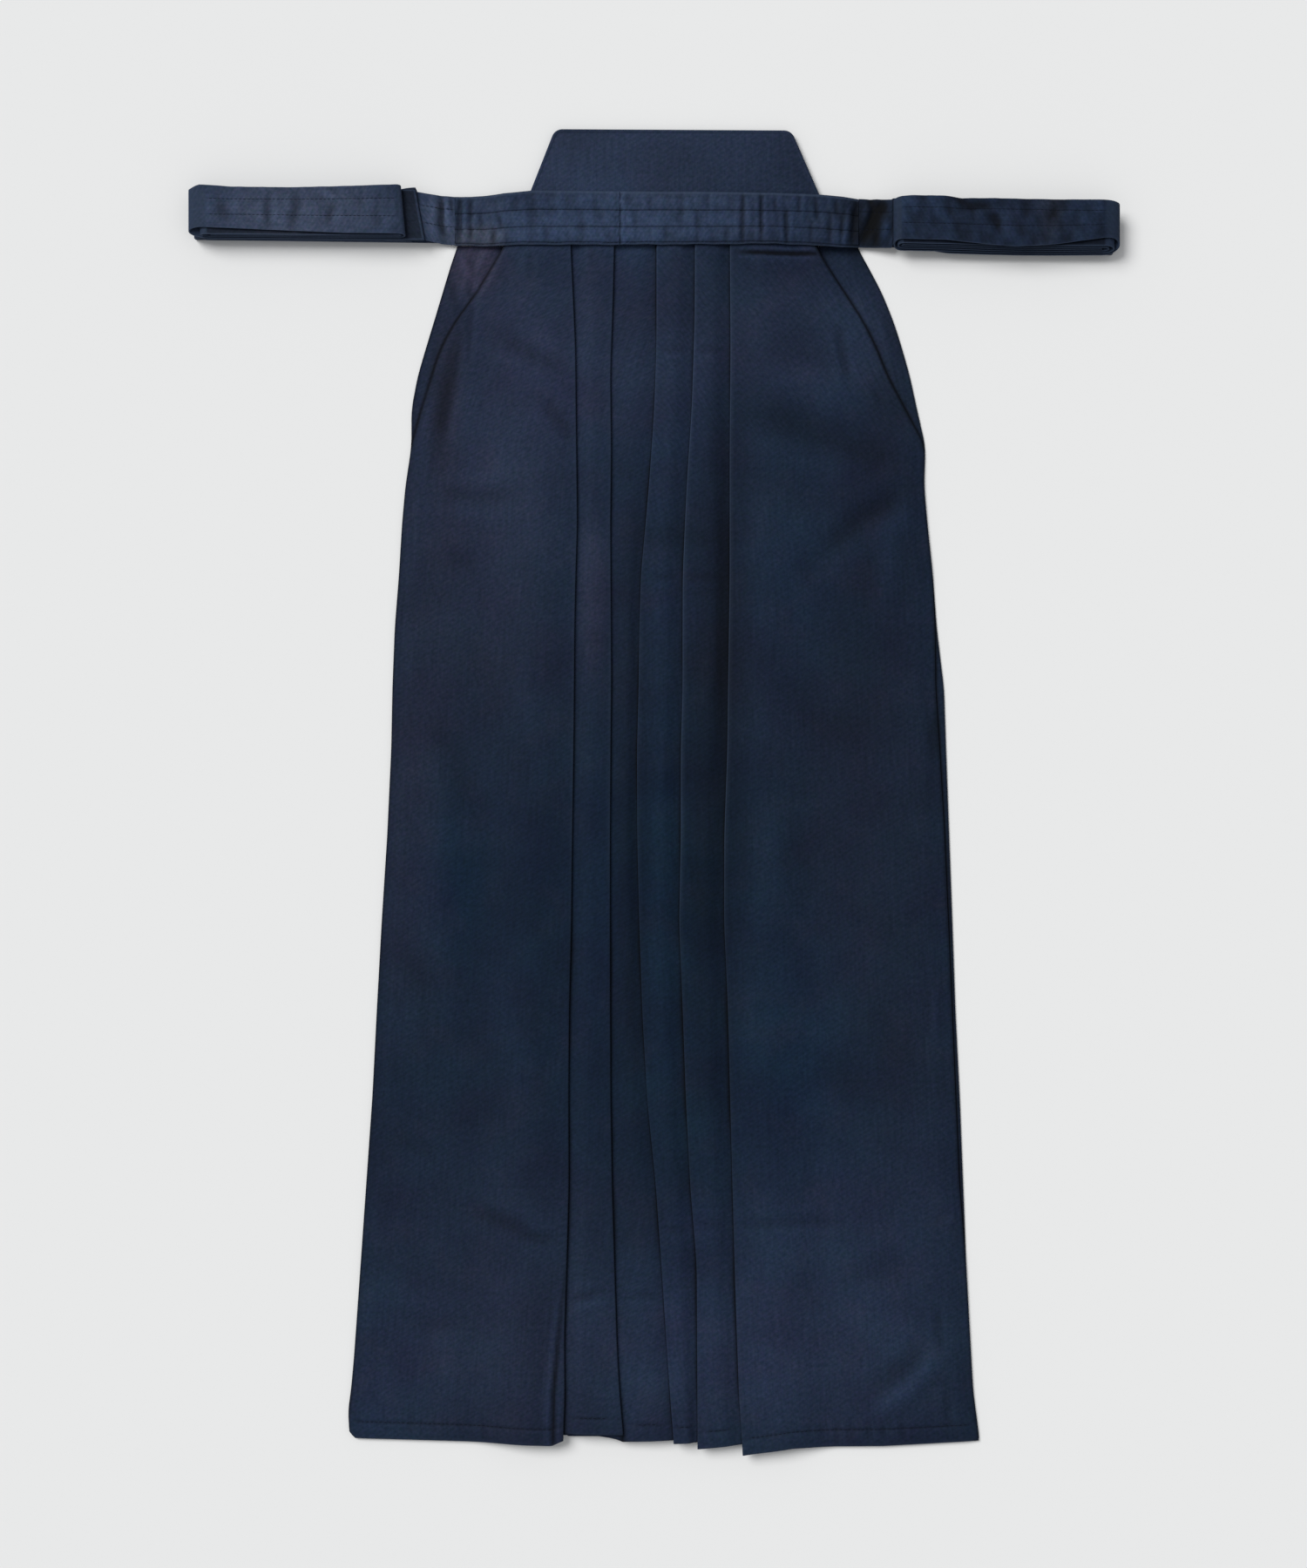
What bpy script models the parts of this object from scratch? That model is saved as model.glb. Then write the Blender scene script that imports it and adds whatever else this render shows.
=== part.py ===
"""Hakama trousers laid flat, front up: pleated panels, gussets, waistband, back board and rolled straps.

Metres, +Z up. The garment rests on z = 0 with its back board toward +Y and its hem toward -Y.
Left and right are as seen from above, so left is -X.
"""

import math

import bpy
import numpy as np

# All sizes below are in millimetres
MM = 0.001
GARMENT_LENGTH = 1004.0
GARMENT_WIDTH = 703.0
CLOTH = 1.0
SEAM_GAP = 0.3
PITCH = CLOTH + SEAM_GAP
HALF_CLOTH = CLOTH / 2

# Photo: millimetres a pixel at the floor, and the pixel over the middle of the garment
PHOTO_PIXEL = 0.663
PHOTO_MIDDLE = (750.5, 908.5)

# The folds lie 9 mm nearer to the camera than the floor does, which is 1900 mm away
FOLD_NEARER = 9.0 / 1900.0

# Bends of each outline edge and fold of the skirt, in the photo's pixels: across, down. The first point of each
# outline edge is hidden under the waistband.
OUTLINE_PIXELS = {
    "back_left": (
        (530.3, 270.5), (527, 283), (522.6, 291), (502, 360), (481, 429), (472.7, 466.6), (473.7, 487),
        (472.7, 521.7), (464, 570), (459, 656), (453.8, 721), (451, 794), (450.5, 840), (447.7, 917.5),
        (442.8, 998), (440, 1037), (431, 1200), (429.4, 1241), (421.5, 1353), (411, 1503), (404, 1598.6),
        (400, 1630.5), (401.7, 1641.6),
    ),
    "front_left": (
        (586.9, 270.5), (583, 281), (553.6, 329), (543, 346), (526, 367), (509, 394), (500, 422), (485, 470),
        (474, 508), (472.7, 521.7),
    ),
    "front_right": (
        (928.5, 270.5), (932, 281), (953, 317), (980, 353), (1001, 391), (1018, 434), (1035.5, 466.6),
        (1056, 506), (1062, 516.5), (1059.6, 556), (1062, 596), (1065, 608), (1070, 663), (1071.6, 704),
        (1072, 776), (1073, 812), (1080, 896), (1083, 966), (1091, 1150), (1099, 1350), (1108, 1453),
        (1116.5, 1608), (1123, 1651),
    ),
    "back_right": (
        (978.3, 270.5), (982, 284), (1008, 329), (1028.6, 380.5), (1046, 442.5), (1054, 484), (1062, 516.5),
        (1059.6, 556), (1062, 596), (1065, 608), (1070, 663), (1071.6, 704), (1082, 776.5), (1086, 896),
        (1090, 1002), (1093, 1086), (1096, 1173.5), (1100, 1247), (1108, 1453), (1116.5, 1608), (1123, 1651),
    ),
}
FOLD_PIXELS = {
    "fold_1": (
        (659, 283), (663, 400), (663, 510), (664, 600), (660, 700), (658, 840), (656, 980), (655, 1086),
        (652, 1191), (652.6, 1356), (650, 1449), (647, 1477), (648, 1600), (646, 1655),
    ),
    "fold_2": (
        (704.5, 284), (703, 346), (700, 432), (701, 515), (700, 604), (701, 753), (701, 797), (699.6, 910),
        (700, 1191), (701, 1321), (703, 1391), (705, 1455), (708, 1551), (712, 1624), (715, 1646),
    ),
    "fold_3": (
        (754, 282), (754, 398), (751.6, 467), (746.5, 546), (739.6, 625), (735, 673), (733.4, 797), (732, 840),
        (731, 910), (733, 1016), (736, 1121), (741.6, 1247), (748, 1296), (756, 1391), (763, 1503), (770.6, 1614),
        (774, 1656),
    ),
    "fold_4": (
        (798, 282), (798, 363), (794.7, 467), (788, 570), (784, 666), (784, 797), (782, 858), (782, 981),
        (779.5, 1051), (784, 1156), (787, 1247), (793, 1367), (800, 1436), (801, 1655),
    ),
    "fold_5": (
        (838, 282), (839, 398), (838, 518), (838, 670), (836, 797), (836, 840), (831, 981), (830, 1033),
        (835, 1121), (838, 1247), (841, 1360), (844, 1470), (848, 1591), (853, 1653),
    ),
}
FRONT_INSET = 0.4

# Heights at which the skirt has a section across it
SECTION_HEIGHTS = (
    423, 412, 400, 378, 355, 335, 315, 290, 262, 232, 203, 164, 124, 78, 32,
    -34, -100, -166, -232, -298, -358, -411, -457, -480, -495,
)

# Hem of each strip, one row for each corner of it
HEM_COLUMNS = ("x", "y")
HEM_MAIN_LEFT = ((-231.0, -485.5), (-227.0, -490.5), (-119.0, -493.4), (-77.0, -494.6), (-69.0, -491.0))
HEM_STRIP_LEFT = ((-67.0, -485.9), (-23.4, -486.6))
HEM_CENTRE = ((-55.0, -487.4), (-23.4, -492.2), (15.0, -491.0))
HEM_STRIP_3 = ((15.5, -493.2), (33.3, -492.4))
HEM_STRIP_4 = ((33.3, -497.2), (67.7, -493.9))
HEM_MAIN_RIGHT = ((67.7, -GARMENT_LENGTH / 2), (75.0, -500.8), (105.0, -496.9), (174.0, -496.4), (247.0, -492.4))
HEM_BACK = ((-231.4, -483.5), (-227.4, -488.0), (0.0, -489.0), (247.0, -491.0))
HIDDEN_HEM_LIFT = 1.6

# Height of what the front lies on, along the garment: board and belt, back pleats, gusset
GROUND_COLUMNS = ("y", "middle", "side")
GROUND_ROWS = (
    (423, 6.6, 6.6),
    (412, 6.6, 6.6),
    (400, 5.6, 5.0),
    (378, 3.9, 1.3),
    (-20, 3.9, 1.3),
    (-48, 6.5, 1.3),
    (-495, 6.5, 1.3),
)

# Front pleats
MAIN_UNDERLAP = 22.0
STRIP_RAMP = 14.0
LEAST_UNDERLAP_SHARE = 0.5
RAMP_START = 1.5
RAMP_END = 3.0
DRAPE_WIDTH = 48.0
DRAPE_SHARE = 0.75
FRONT_SEAM_PAST_FOLD = 3.5
FOLD_STEPS = 3
CORNER = 4.0

# Back pleats, one each side of the back seam
BACK_TOP = 413.9
BACK_SEAM = 7.0
BACK_FOLD_COLUMNS = ("y", "from_seam")
BACK_FOLD_ROWS = ((414, 22.0), (-495, 37.0))
BACK_UNDERLAP = 35.0
BACK_DROP = 12.0

# Gussets between the legs, from the crotch to the hem
CROTCH_Y = -55.0
GUSSET_COLUMNS = ("y", "half_width")
GUSSET_ROWS = ((CROTCH_Y, 16.0), (-495, 78.0))
GUSSET_HEM = -487.0
GUSSET_SECTIONS = 9

# Front waistband: a strip folded over the tops of the front panels, one row for each section
BAND_COLUMNS = ("x", "bottom", "top", "underside", "mouth")
BAND_ROWS = (
    (-150.5, 413.9, 450.6, 1.8, 0.0),
    (-139.0, 413.8, 450.7, 1.8, 0.0),
    (-128.0, 413.6, 451.4, 1.8, 0.0),
    (-120.0, 413.5, 452.0, 3.6, 0.0),
    (-114.0, 413.4, 452.6, 5.3, 1.3),
    (-106.0, 413.4, 453.3, 5.3, 1.3),
    (-91.0, 413.3, 454.9, 5.3, 3.9),
    (-60.0, 413.2, 454.6, 5.3, 3.9),
    (-30.0, 413.2, 454.2, 5.3, 3.9),
    (0.0, 413.4, 454.0, 5.3, 3.9),
    (30.0, 413.5, 454.0, 5.3, 3.9),
    (60.0, 413.7, 453.6, 5.3, 3.9),
    (92.0, 414.2, 453.0, 5.3, 3.9),
    (112.0, 414.4, 452.3, 5.3, 1.3),
    (124.0, 414.1, 451.8, 5.3, 1.3),
    (131.0, 413.9, 451.2, 5.3, 0.0),
    (143.5, 413.0, 450.0, 5.3, 0.0),
    (154.9, 412.4, 448.8, 2.4, 0.0),
)
BAND_MOUTH_DEPTH = 10.0
BAND_CLOSED_AT = 20.0

# Stiff back board
BOARD_THICK = 5.0
BOARD_BOTTOM = 414.2
BOARD_CORNERS = ((-109.6, BOARD_BOTTOM), (142.0, BOARD_BOTTOM), (104.2, 501.0), (-75.0, GARMENT_LENGTH / 2))
BOARD_CORNER_RADII = (1.5, 1.5, 8.0, 8.0)
BOARD_CORNER_STEPS = 4
BOARD_EDGE_ROUND = 1.2
BOARD_EDGE_STEPS = 2

# Straps
STRAP_WIDTH = 36.5
STRAP_THICK = 1.5
BACK_STRAP_WIDTH = 35.0
BACK_STRAP_LAYERS = 4
STRAP_PITCH = STRAP_THICK + SEAM_GAP
ROLL_UNDERSIDE = BACK_STRAP_LAYERS * STRAP_PITCH
ROLL_LAYER = 1.5
ROLL_GROOVE = 0.6
ROLL_SECTIONS = 6
HALF_WIDTH = GARMENT_WIDTH / 2

# Rolled end of each front strap, one row for each layer from the lowest up
ROLL_COLUMNS = ("near", "far", "shift")
LEFT_ROLL_ROWS = (
    (-177.4, -347.8, -1.6),
    (-176.5, -350.2, -1.4),
    (-178.0, -351.2, -1.2),
    (-186.4, -HALF_WIDTH, -0.6),
    (-185.8, -351.0, -0.3),
    (-186.0, -349.8, 0.0),
    (-187.6, -347.0, 0.0),
)
RIGHT_ROLL_ROWS = (
    (186.0, 347.6, -6.0),
    (184.2, 350.0, -5.2),
    (182.6, 351.1, -4.2),
    (181.0, HALF_WIDTH, -3.2),
    (180.6, 351.1, -2.2),
    (181.6, 350.0, -1.2),
    (184.0, 347.6, 0.0),
)
LEFT_ROLL_MIDDLE = (437.4, 437.8)
RIGHT_ROLL_MIDDLE = (432.4, 429.6)

# Stretch of each front strap between the waistband and its roll
RUN_COLUMNS = ("x", "middle", "underside")
LEFT_RUN_ROWS = (
    (-150.8, 432.3, 2.2),
    (-160.0, 433.0, 2.6),
    (-168.0, 434.0, 4.8),
    (-175.9, 435.2, 7.4),
)
RIGHT_RUN_ROWS = (
    (155.2, 430.7, 2.8),
    (163.0, 430.2, 3.0),
    (171.0, 429.8, 5.0),
    (180.0, 429.4, 7.6),
)

# Back straps, folded to and fro on the floor under the front ones
BACK_STRAP_COLUMNS = ("start_low", "start_high", "turn", "near", "end", "middle_start", "middle_turn")
BACK_STRAP_LEFT = (-109.6, -95.9, -347.5, -184.0, -188.0, 433.0, 436.2)
BACK_STRAP_RIGHT = (142.2, 127.0, 347.0, 188.0, 193.0, 432.2, 424.6)
BACK_STRAP_SPAN = 4

# Finishes: colour, roughness
CLOTH_FINISH = ((0.014, 0.020, 0.040, 1.0), 0.85)
STRAP_FINISH = ((0.017, 0.024, 0.046, 1.0), 0.80)
BOARD_FINISH = ((0.013, 0.019, 0.038, 1.0), 0.80)


def columns_of(names, rows):
    """Each named column of a table, as an array."""
    values = np.array(rows, float)
    return {name: values[:, index] for index, name in enumerate(names)}


def edge_from_photo(pixels, heights, nearer=0.0):
    """Places across the garment of an edge seen in the photo, one for each height."""
    across, down = np.array(pixels, float).T
    y = (PHOTO_MIDDLE[1] - down) * PHOTO_PIXEL
    x = (across - PHOTO_MIDDLE[0]) * PHOTO_PIXEL * (1 - nearer)
    return np.interp(-heights, -y, x)


def sections_from_photo():
    """Named columns of the skirt's sections: y, and the place across of each edge and fold there."""
    heights = np.array(SECTION_HEIGHTS, float)
    sections = {"y": heights}
    sections |= {name: edge_from_photo(pixels, heights) for name, pixels in OUTLINE_PIXELS.items()}
    sections |= {name: edge_from_photo(pixels, heights, FOLD_NEARER) for name, pixels in FOLD_PIXELS.items()}
    # below its side opening, each front panel lies just inside the back one
    parting = (PHOTO_MIDDLE[1] - OUTLINE_PIXELS["front_left"][-1][1]) * PHOTO_PIXEL
    left = np.where(heights < parting, sections["back_left"], sections["front_left"])
    sections["front_left"] = np.maximum(left, sections["back_left"] + FRONT_INSET)
    sections["front_right"] = np.minimum(sections["front_right"], sections["back_right"] - FRONT_INSET)
    return sections


def rows_of(names, rows):
    """Each row of a table, as its named values."""
    return [dict(zip(names, row)) for row in rows]


SECTION = sections_from_photo()
GROUND = columns_of(GROUND_COLUMNS, GROUND_ROWS)
BACK_FOLD = columns_of(BACK_FOLD_COLUMNS, BACK_FOLD_ROWS)
GUSSET = columns_of(GUSSET_COLUMNS, GUSSET_ROWS)
STATIONS = sorted(set(SECTION["y"]) | set(GROUND["y"]), reverse=True)
HEM_STATION = STATIONS[-1]


def along(table, name, y):
    """Value of a column at y, for a table whose y falls from row to row."""
    return float(np.interp(-y, -table["y"], table[name]))


def smooth_step(share):
    """Soft rise from 0 to 1."""
    return share * share * (3 - 2 * share)


def knife_fold(fold, underlap, height, step):
    """Points round a fold edge, back by its underlap, and round into the next strip."""
    radius = abs(step) / 2
    angles = np.linspace(0, math.pi, FOLD_STEPS + 1)
    outer = [(fold - radius + radius * math.sin(a), height + step * (1 - math.cos(a)) / 2) for a in angles]
    turn = fold - underlap + radius
    lower = height + step
    inner = [(turn - radius * math.sin(a), lower + step * (1 - math.cos(a)) / 2) for a in angles]
    return outer + inner


def front_path(edge, folds, end, middle, side):
    """Section of a front panel from its outer edge to the centre seam.

    u grows toward the middle of the garment. Returns rows of u, z, strip number and hidden (0 or 1).
    """
    low = middle + HALF_CLOTH
    high = low + 2 * PITCH
    rest = side + HALF_CLOTH
    gaps = np.diff(folds)
    underlaps = [MAIN_UNDERLAP] + [max(LEAST_UNDERLAP_SHARE * gap, gap - STRIP_RAMP) for gap in gaps]
    top = folds[0] - underlaps[0] - RAMP_END
    drape = min(DRAPE_WIDTH, DRAPE_SHARE * (top - edge))
    settle = top - drape
    points = [(edge, rest, 0, 0), (edge + CORNER, rest, 0, 0), ((edge + CORNER + settle) / 2, rest, 0, 0)]
    for share in (0, 0.25, 0.5, 0.75, 1):
        points.append((settle + drape * share, rest + (high - rest) * smooth_step(share), 0, 0))
    for strip, (fold, underlap) in enumerate(zip(folds, underlaps)):
        if strip:
            points.append((folds[strip - 1] + RAMP_START, low, strip, 0))
            points.append((fold - underlap - RAMP_END, high, strip, 0))
        turned = knife_fold(fold, underlap, high, -PITCH)
        half = len(turned) // 2
        points += [(u, z, strip, index > 0) for index, (u, z) in enumerate(turned[:half])]
        points += [(u, z, strip + (index == half - 1), index < half - 1) for index, (u, z) in enumerate(turned[half:])]
    points.append((end, low, len(folds), 0))
    return points


def front_panel(sign, edge_name, fold_names, seam_shift, hems):
    """Grid of points of a front panel: rows down the garment, columns across it."""
    grid = []
    for y in STATIONS:
        middle = along(GROUND, "middle", y)
        side = along(GROUND, "side", y)
        folds = [sign * along(SECTION, name, y) for name in fold_names]
        end = sign * (along(SECTION, "fold_3", y) + seam_shift)
        path = front_path(sign * along(SECTION, edge_name, y), folds, end, middle, side)
        row = [(sign * u, y, z) for u, z, _, _ in path]
        if y == HEM_STATION:
            row = [
                (sign * u, hem_of(hems[int(strip)], sign * u) + hidden * HIDDEN_HEM_LIFT, z)
                for u, z, strip, hidden in path
            ]
        grid.append(row)
    return np.array(grid, float)


def hem_of(rows, x):
    """Height of a hem at x."""
    hem = columns_of(HEM_COLUMNS, rows)
    order = np.argsort(hem["x"])
    return float(np.interp(x, hem["x"][order], hem["y"][order]))


def back_panel(sign, edge_name):
    """Grid of points of a back panel, with its one pleat lying toward the back seam."""
    grid = []
    for y in [BACK_TOP] + [value for value in SECTION["y"] if value < BACK_TOP - CORNER]:
        edge = sign * along(SECTION, edge_name, y)
        seam = sign * BACK_SEAM
        fold = seam - along(BACK_FOLD, "from_seam", y)
        low = HALF_CLOTH
        points = [(edge, low), (edge + CORNER, low), ((edge + fold) / 2, low)]
        points += knife_fold(fold, BACK_UNDERLAP, low, PITCH)
        points += [(fold + 2 * RAMP_START, low + 2 * PITCH), (fold + BACK_DROP, low), (seam - SEAM_GAP / 2, low)]
        last = y == HEM_STATION
        grid.append([(sign * u, hem_of(HEM_BACK, sign * u) if last else y, z) for u, z in points])
    return np.array(grid, float)


def gusset(sign):
    """Grid of points of one leg's gusset: an upper leaf from the front seam, folded back under to the back seam."""
    grid = []
    for y in np.linspace(CROTCH_Y, GUSSET_HEM, GUSSET_SECTIONS):
        upper = along(GROUND, "middle", y) - SEAM_GAP - HALF_CLOTH
        start = sign * (along(SECTION, "fold_3", y) + FRONT_SEAM_PAST_FOLD) - SEAM_GAP / 2
        end = sign * BACK_SEAM - SEAM_GAP / 2
        turn = sign * BACK_SEAM - along(GUSSET, "half_width", y) + PITCH / 2
        angles = np.linspace(0, math.pi, FOLD_STEPS + 1)
        arc = [(turn - PITCH / 2 * math.sin(a), upper - PITCH * (1 - math.cos(a)) / 2) for a in angles]
        points = [(start, upper)] + arc + [(end, upper - PITCH)]
        grid.append([(sign * u, y, z) for u, z in points])
    return np.array(grid, float)


def waistband():
    """Grid of points of the waistband: front leaf, top fold and back leaf, a row for each section along it."""
    grid = []
    for row in rows_of(BAND_COLUMNS, BAND_ROWS):
        x, bottom = row["x"], row["bottom"]
        back = row["underside"] + HALF_CLOTH
        closed = back + PITCH
        opened = closed + row["mouth"]
        turn = row["top"] - PITCH / 2 - HALF_CLOTH
        angles = np.linspace(0, math.pi, FOLD_STEPS + 1)
        arc = [(turn + PITCH / 2 * math.sin(a), closed - PITCH * (1 - math.cos(a)) / 2) for a in angles]
        points = [(bottom, opened), (bottom + BAND_MOUTH_DEPTH, opened), (bottom + BAND_CLOSED_AT, closed)]
        points += arc + [(bottom + BAND_CLOSED_AT, back), (bottom, back)]
        grid.append([(x, y, z) for y, z in points])
    return np.array(grid, float)


def strap_run(rows):
    """Grid of points of a front strap between the waistband and its roll."""
    half = STRAP_WIDTH / 2
    grid = []
    for row in rows_of(RUN_COLUMNS, rows):
        height = row["underside"] + STRAP_THICK / 2
        grid.append([(row["x"], row["middle"] + side * half, height) for side in (-1, 0, 1)])
    return np.array(grid, float)


def folded_back_strap(values):
    """Grid of points of a back strap: out from the board, then to and fro in flat layers."""
    strap = dict(zip(BACK_STRAP_COLUMNS, values))
    sign = math.copysign(1, strap["turn"])
    radius = STRAP_PITCH / 2
    angles = np.linspace(0, math.pi, FOLD_STEPS + 1)
    low = abs(strap["start_low"])
    slant = (low - abs(strap["start_high"])) / 2
    far = abs(strap["turn"])
    near = abs(strap["near"])
    path = [(u, STRAP_THICK / 2) for u in np.linspace(low - slant, far - radius, BACK_STRAP_SPAN)[:-1]]
    for layer in range(BACK_STRAP_LAYERS - 1):
        height = STRAP_THICK / 2 + layer * STRAP_PITCH
        outward = layer % 2 == 0
        centre = far - radius if outward else near + radius
        reach = radius if outward else -radius
        path += [(centre + reach * math.sin(a), height + STRAP_PITCH * (1 - math.cos(a)) / 2) for a in angles]
    path.append((abs(strap["end"]), STRAP_THICK / 2 + (BACK_STRAP_LAYERS - 1) * STRAP_PITCH))
    grid = []
    for index, (u, z) in enumerate(path):
        share = (u - low + slant) / (far - low + slant)
        middle = strap["middle_start"] + (strap["middle_turn"] - strap["middle_start"]) * share
        skew = 0 if index else slant
        grid.append([(sign * (u - side * skew), middle + side * BACK_STRAP_WIDTH / 2, z) for side in (-1, 1)])
    return np.array(grid, float)


def cloth_material(name, finish):
    """Material of one piece, with its colour and roughness."""
    colour, roughness = finish
    made = bpy.data.materials.new(name + "_cloth")
    made.use_nodes = True
    shader = made.node_tree.nodes["Principled BSDF"]
    shader.inputs["Base Color"].default_value = colour
    shader.inputs["Roughness"].default_value = roughness
    shader.inputs["Metallic"].default_value = 0.0
    made.diffuse_color = colour
    return made


def add_object(name, points, faces, finish, collection):
    """Mesh object from points in millimetres and faces."""
    mesh = bpy.data.meshes.new(name)
    mesh.from_pydata([tuple(float(value) * MM for value in point) for point in points], [], faces)
    mesh.validate()
    mesh.update()
    made = bpy.data.objects.new(name, mesh)
    made.data.materials.append(cloth_material(name, finish))
    collection.objects.link(made)
    return made


def sheet(name, grid, thick, finish, collection):
    """Open surface through a grid of points, given its wall by Solidify."""
    rows, columns, _ = grid.shape
    faces = []
    for row in range(rows - 1):
        for column in range(columns - 1):
            first = row * columns + column
            faces.append((first, first + 1, first + columns + 1, first + columns))
    made = add_object(name, grid.reshape(-1, 3), faces, finish, collection)
    wall = made.modifiers.new("Wall", "SOLIDIFY")
    wall.thickness = thick * MM
    wall.offset = 0.0
    wall.use_even_offset = True
    wall.use_quality_normals = True
    return made


def strap_roll(name, rows, middle, finish, collection):
    """Flat-rolled strap as one closed body, its layers showing as ridges on the long sides."""
    layers = columns_of(ROLL_COLUMNS, rows)
    count = len(rows)
    levels = []
    for level in range(2 * count + 1):
        below = max(0, (level - 1) // 2)
        above = min(count - 1, level // 2)
        near, far, shift = ((layers[name_][below] + layers[name_][above]) / 2 for name_ in ROLL_COLUMNS)
        inset = 0.0 if level % 2 else ROLL_GROOVE
        inward = math.copysign(inset, far - near)
        levels.append((near + inward, far - inward, shift, inset, ROLL_UNDERSIDE + level * ROLL_LAYER / 2))
    half = STRAP_WIDTH / 2
    ends = (layers["near"].min(), layers["near"].max(), layers["far"].min(), layers["far"].max())
    start, stop = (min(ends, key=abs), max(ends, key=abs))
    points = []
    for share in np.linspace(0, 1, ROLL_SECTIONS + 1):
        ring = []
        for near, far, shift, inset, z in levels:
            x = near + (far - near) * share
            centre = np.interp((x - start) / (stop - start), (0, 1), middle) + shift
            ring.append((x, centre - half + inset, centre + half - inset, z))
        points += [(x, low, z) for x, low, _, z in ring]
        points += [(x, high, z) for x, _, high, z in reversed(ring)]
    around = 2 * len(levels)
    faces = []
    for section in range(ROLL_SECTIONS):
        for index in range(around):
            after = (index + 1) % around
            base = section * around
            faces.append((base + index, base + after, base + around + after, base + around + index))
    for base, turn in ((0, -1), (ROLL_SECTIONS * around, 1)):
        for index in range(len(levels) - 1):
            across = around - 1 - index
            faces.append((base + index, base + index + 1, base + across - 1, base + across)[::turn])
    made = add_object(name, points, faces, finish, collection)
    face_outward(made)
    return made


def face_outward(made):
    """Turns every face of a closed body outward."""
    bpy.context.view_layer.objects.active = made
    made.select_set(True)
    bpy.ops.object.mode_set(mode="EDIT")
    bpy.ops.mesh.select_all(action="SELECT")
    bpy.ops.mesh.normals_make_consistent(inside=False)
    bpy.ops.object.mode_set(mode="OBJECT")
    made.select_set(False)


def rounded_outline(corners, radii):
    """Closed outline with an arc at each corner."""
    outline = []
    for index, (corner, radius) in enumerate(zip(corners, radii)):
        here = np.array(corner)
        before = np.array(corners[index - 1]) - here
        after = np.array(corners[(index + 1) % len(corners)]) - here
        before = before / np.linalg.norm(before)
        after = after / np.linalg.norm(after)
        opening = math.acos(float(before @ after)) / 2
        reach = radius / math.tan(opening)
        bisector = (before + after) / np.linalg.norm(before + after)
        centre = here + bisector * radius / math.sin(opening)
        first = here + before * reach - centre
        last = here + after * reach - centre
        for share in np.linspace(0, 1, BOARD_CORNER_STEPS + 1):
            spoke = first * (1 - share) + last * share
            outline.append(centre + spoke / np.linalg.norm(spoke) * radius)
    return outline


def back_board(finish, collection):
    """Stiff cloth-covered board, flat on the floor behind the waistband."""
    outline = rounded_outline(BOARD_CORNERS, BOARD_CORNER_RADII)
    points = [(x, y, 0.0) for x, y in outline]
    made = add_object("back_board", points, [tuple(range(len(points)))], finish, collection)
    thick = made.modifiers.new("Thickness", "SOLIDIFY")
    thick.thickness = BOARD_THICK * MM
    thick.offset = 1.0
    rounded = made.modifiers.new("Rounded edge", "BEVEL")
    rounded.width = BOARD_EDGE_ROUND * MM
    rounded.segments = BOARD_EDGE_STEPS
    rounded.limit_method = "ANGLE"
    rounded.angle_limit = math.radians(60)
    return made


def main():
    """Builds every piece of the garment."""
    for old in list(bpy.data.objects):
        bpy.data.objects.remove(old, do_unlink=True)
    garment = bpy.data.collections.new("hakama_trousers")
    bpy.context.scene.collection.children.link(garment)

    left = front_panel(
        1, "front_left", ("fold_1", "fold_2"), FRONT_SEAM_PAST_FOLD - SEAM_GAP / 2,
        (HEM_MAIN_LEFT, HEM_STRIP_LEFT, HEM_CENTRE),
    )
    right = front_panel(
        -1, "front_right", ("fold_5", "fold_4", "fold_3"), FRONT_SEAM_PAST_FOLD + SEAM_GAP / 2,
        (HEM_MAIN_RIGHT, HEM_STRIP_4, HEM_STRIP_3, HEM_CENTRE),
    )
    sheet("front_panel_left", left, CLOTH, CLOTH_FINISH, garment)
    sheet("front_panel_right", right, CLOTH, CLOTH_FINISH, garment)
    sheet("back_panel_left", back_panel(1, "back_left"), CLOTH, CLOTH_FINISH, garment)
    sheet("back_panel_right", back_panel(-1, "back_right"), CLOTH, CLOTH_FINISH, garment)
    sheet("gusset_left", gusset(1), CLOTH, CLOTH_FINISH, garment)
    sheet("gusset_right", gusset(-1), CLOTH, CLOTH_FINISH, garment)

    sheet("front_waistband", waistband(), CLOTH, STRAP_FINISH, garment)
    back_board(BOARD_FINISH, garment)

    sheet("front_strap_left", strap_run(LEFT_RUN_ROWS), STRAP_THICK, STRAP_FINISH, garment)
    sheet("front_strap_right", strap_run(RIGHT_RUN_ROWS), STRAP_THICK, STRAP_FINISH, garment)
    strap_roll("front_strap_roll_left", LEFT_ROLL_ROWS, LEFT_ROLL_MIDDLE, STRAP_FINISH, garment)
    strap_roll("front_strap_roll_right", RIGHT_ROLL_ROWS, RIGHT_ROLL_MIDDLE, STRAP_FINISH, garment)
    sheet("back_strap_left", folded_back_strap(BACK_STRAP_LEFT), STRAP_THICK, STRAP_FINISH, garment)
    sheet("back_strap_right", folded_back_strap(BACK_STRAP_RIGHT), STRAP_THICK, STRAP_FINISH, garment)


main()
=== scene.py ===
"""Looks of a pair of hakama trousers laid flat, front up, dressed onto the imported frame.

Sizes in the tables are millimetres, in the frame's own axes: -X is left, +Y is toward the waist, +Z is up.
Tables named pixels hold places in the photo. u is a place across a panel, from its side edge to the middle.
"""

import logging
import math
from dataclasses import dataclass
from enum import Enum
from typing import Any, Sequence

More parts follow.
